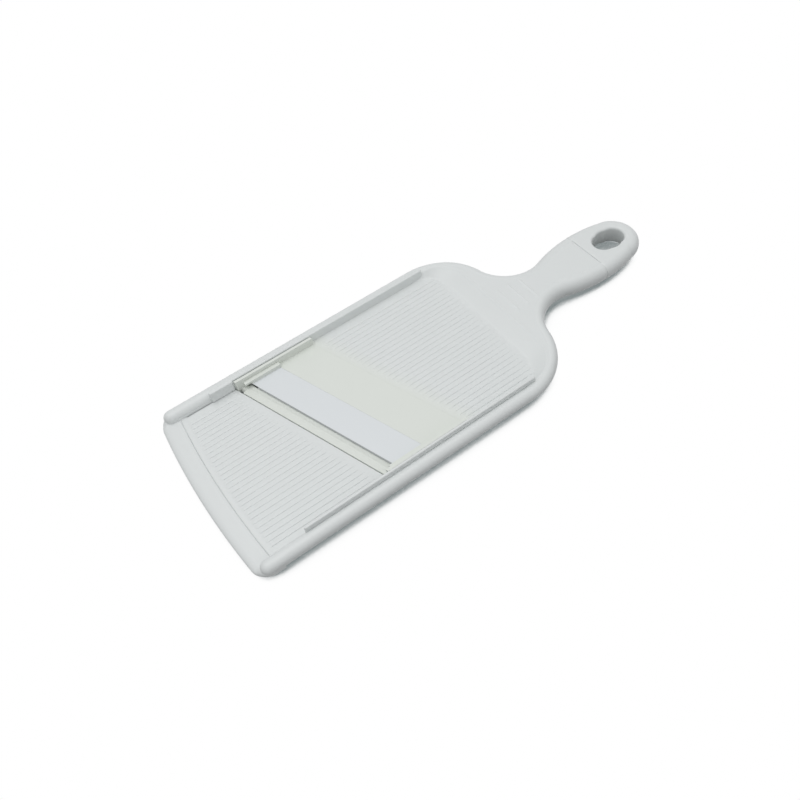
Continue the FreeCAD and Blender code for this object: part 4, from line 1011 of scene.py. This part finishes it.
def add_lights():
    """An even sky, a wide soft key from above on the wheel's side and a weak fill on the other."""
    world = bpy.data.worlds.new("studio")
    world.use_nodes = True
    tree = world.node_tree
    sky = tree.nodes["Background"]
    sky.inputs["Color"].default_value = SKY_COLOUR
    sky.inputs["Strength"].default_value = SKY_STRENGTH
    white = node(tree, "ShaderNodeBackground", Color=(1.0, 1.0, 1.0, 1.0), Strength=1.0)
    studio = mix_shaders(tree, seen_directly(tree), sky, white)
    tree.links.new(studio.outputs[0], tree.nodes["World Output"].inputs["Surface"])
    bpy.context.scene.world = world
    for name, place, size, power in LAMPS:
        lamp = bpy.data.lights.new(name, "AREA")
        lamp.size = size
        lamp.energy = power
        holder = bpy.data.objects.new(name, lamp)
        holder.location = place
        holder.rotation_euler = (-Vector(place)).to_track_quat("-Z", "Y").to_euler()
        bpy.context.scene.collection.objects.link(holder)


def add_camera():
    """Camera at its fitted place and heading, with the fitted focal length on a 36 mm sensor."""
    camera = bpy.data.cameras.new("camera")
    camera.lens = CAMERA_LENS
    camera.sensor_width = CAMERA_SENSOR
    camera.clip_start = CAMERA_CLIP
    holder = bpy.data.objects.new("camera", camera)
    turn = Matrix((CAMERA_RIGHT, CAMERA_UP, CAMERA_BACK)).transposed().to_4x4()
    holder.matrix_world = Matrix.Translation(CAMERA_PLACE) @ turn
    bpy.context.scene.collection.objects.link(holder)
    bpy.context.scene.camera = holder


# Properties

def length_property(name, description, millimetres):
    """A length property whose default is given in millimetres."""
    return FloatProperty(
        name=name, description=description, default=millimetres * MM, unit="LENGTH", precision=5)


def colour_property(name, description, shade):
    """A colour property with its default shade."""
    return FloatVectorProperty(
        name=name, description=description, default=shade, subtype="COLOR", size=3, min=0.0, max=1.0)


class SlicerSizes(bpy.types.PropertyGroup):
    """Sizes of the surface detail."""

    rib_pitch: length_property("Rib pitch", "Distance from one rib to the next", 3.55)
    rib_width: length_property("Rib width", "Width of a rib at its foot", 2.25)
    rib_height: length_property("Rib height", "How far a rib stands above the field around it", 0.41)
    rib_count: IntProperty(name="Ribs", description="Ribs across the board", default=29, min=1)
    ridge_height: length_property("Neck ridge height", "How far the three neck ridges stand up", 0.34)
    bead_height: length_property("Recess bead", "How far the recess's rolled upper edge stands up", 0.2)


class SlicerTones(bpy.types.PropertyGroup):
    """Colours of the finishes."""

    board: colour_property("Board", "Moulded white plastic", (0.745, 0.770, 0.765))
    cassette: colour_property("Blade carrier", "Creamier moulded plastic", (0.745, 0.775, 0.730))
    blade: colour_property("Blade", "White ceramic", (0.742, 0.772, 0.788))
    wheel: colour_property("Thumb wheel", "Pale grey plastic", (0.60, 0.62, 0.62))
    steel: colour_property("Steel", "Screws and leaf spring", (0.62, 0.62, 0.63))
    foot: colour_property("Feet", "Pale soft pads", (0.62, 0.64, 0.64))


# Operators

class SLICER_OT_rims(bpy.types.Operator):
    """Add the two round rims that run into the grip's edges"""

    bl_idname = "slicer.rims"
    bl_label = "Rims"

    def execute(self, context):
        for name, side in (("left_rim", 1), ("right_rim", -1)):
            piece = make_piece(name, [rim_surface(side)])
            settle(piece, finish_named("board_plastic"), "body")
        return {"FINISHED"}


class SLICER_OT_deck(bpy.types.Operator):
    """Add the ribbed rear deck with the recess, the neck and the grip"""

    bl_idname = "slicer.deck"
    bl_label = "Deck and grip"

    def execute(self, context):
        sizes = context.scene.slicer_sizes
        piece = make_piece("deck_and_grip", [deck_surface(sizes), *deck_rib_surfaces(sizes)])
        settle(piece, finish_named("deck_plastic"), "body")
        return {"FINISHED"}


class SLICER_OT_front_bar(bpy.types.Operator):
    """Add the bowed bar across the front"""

    bl_idname = "slicer.front_bar"
    bl_label = "Front bar"

    def execute(self, context):
        piece = make_piece("front_bar", [front_bar_surface()])
        settle(piece, finish_named("board_plastic"), "body")
        return {"FINISHED"}


class SLICER_OT_rails(bpy.types.Operator):
    """Add the two straight rails that guide the food"""

    bl_idname = "slicer.rails"
    bl_label = "Rails"

    def execute(self, context):
        for name, side in (("left_rail", 1), ("right_rail", -1)):
            piece = make_piece(name, rail_surfaces(side))
            settle(piece, finish_named("board_plastic"), "body")
        return {"FINISHED"}


class SLICER_OT_underside(bpy.types.Operator):
    """Add the walls, foot blocks and ledges under the board"""

    bl_idname = "slicer.underside"
    bl_label = "Underside"

    def execute(self, context):
        piece = make_piece("underside_walls", underside_surfaces())
        settle(piece, finish_named("board_plastic"), "body")
        return {"FINISHED"}


class SLICER_OT_front_plate(bpy.types.Operator):
    """Add the ribbed plate ahead of the blade"""

    bl_idname = "slicer.front_plate"
    bl_label = "Front plate"

    def execute(self, context):
        surfaces = [front_plate_surface(), *plate_rib_surfaces(context.scene.slicer_sizes)]
        piece = make_piece("ribbed_front_plate", surfaces)
        settle(piece, finish_named("board_plastic"), "front_plate")
        return {"FINISHED"}


class SLICER_OT_grip_end(bpy.types.Operator):
    """Add the grip's end section with its hanging hole"""

    bl_idname = "slicer.grip_end"
    bl_label = "Grip end"

    def execute(self, context):
        piece = make_piece("grip_end", [grip_end_surface()])
        settle(piece, finish_named("board_plastic"), "handle_end")
        return {"FINISHED"}


class SLICER_OT_finish_solids(bpy.types.Operator):
    """Give the blade group, wheel, screws, spring, cover and feet their finishes"""

    bl_idname = "slicer.finish_solids"
    bl_label = "Finish solids"

    def execute(self, context):
        by_slot = {
            "white_plastic": "board_plastic",
            "cream_plastic": "cassette_plastic",
            "blade_ceramic": "blade_ceramic_white",
            "wheel_plastic": "wheel_grey",
            "screw_steel": "screw_bright",
            "spring_steel": "leaf_steel",
            "foot_rubber": "foot_pad",
        }
        for subpart in frame["record"]["subparts"]:
            mesh = frame["nodes"][subpart["node"]].data
            mesh.materials.clear()
            mesh.materials.append(finish_named(by_slot[subpart["material_slot"]]))
        return {"FINISHED"}


class SLICER_OT_stage(bpy.types.Operator):
    """Add the pale floor, the soft lights and the camera"""

    bl_idname = "slicer.stage"
    bl_label = "Stage"

    def execute(self, context):
        add_floor()
        add_lights()
        add_camera()
        context.scene.view_settings.view_transform = "Standard"
        return {"FINISHED"}


STEPS = (
    SLICER_OT_finish_solids, SLICER_OT_rims, SLICER_OT_deck, SLICER_OT_front_bar, SLICER_OT_rails,
    SLICER_OT_underside, SLICER_OT_front_plate, SLICER_OT_grip_end, SLICER_OT_stage,
)


class SLICER_PT_panel(bpy.types.Panel):
    """Lists the slicer's pieces, sizes and colours"""

    bl_idname = "SLICER_PT_panel"
    bl_label = "Slicer"
    bl_space_type = "VIEW_3D"
    bl_region_type = "UI"
    bl_category = "Slicer"

    def draw(self, context):
        for step in STEPS:
            self.layout.operator(step.bl_idname)
        for group in (context.scene.slicer_sizes, context.scene.slicer_tones):
            for name in group.bl_rna.properties.keys():
                if name not in ("rna_type", "name"):
                    self.layout.prop(group, name)


CLASSES = (SlicerSizes, SlicerTones, *STEPS, SLICER_PT_panel)


def register():
    """Add the classes and the scene's two groups of properties."""
    for kind in CLASSES:
        bpy.utils.register_class(kind)
    bpy.types.Scene.slicer_sizes = PointerProperty(type=SlicerSizes)
    bpy.types.Scene.slicer_tones = PointerProperty(type=SlicerTones)


def unregister():
    """Take the scene's groups of properties and the classes away again."""
    del bpy.types.Scene.slicer_tones
    del bpy.types.Scene.slicer_sizes
    for kind in reversed(CLASSES):
        bpy.utils.unregister_class(kind)


def main():
    """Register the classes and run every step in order."""
    register()
    bpy.ops.slicer.finish_solids()
    bpy.ops.slicer.rims()
    bpy.ops.slicer.deck()
    bpy.ops.slicer.front_bar()
    bpy.ops.slicer.rails()
    bpy.ops.slicer.underside()
    bpy.ops.slicer.front_plate()
    bpy.ops.slicer.grip_end()
    bpy.ops.slicer.stage()


if __name__ == "__main__":
    main()
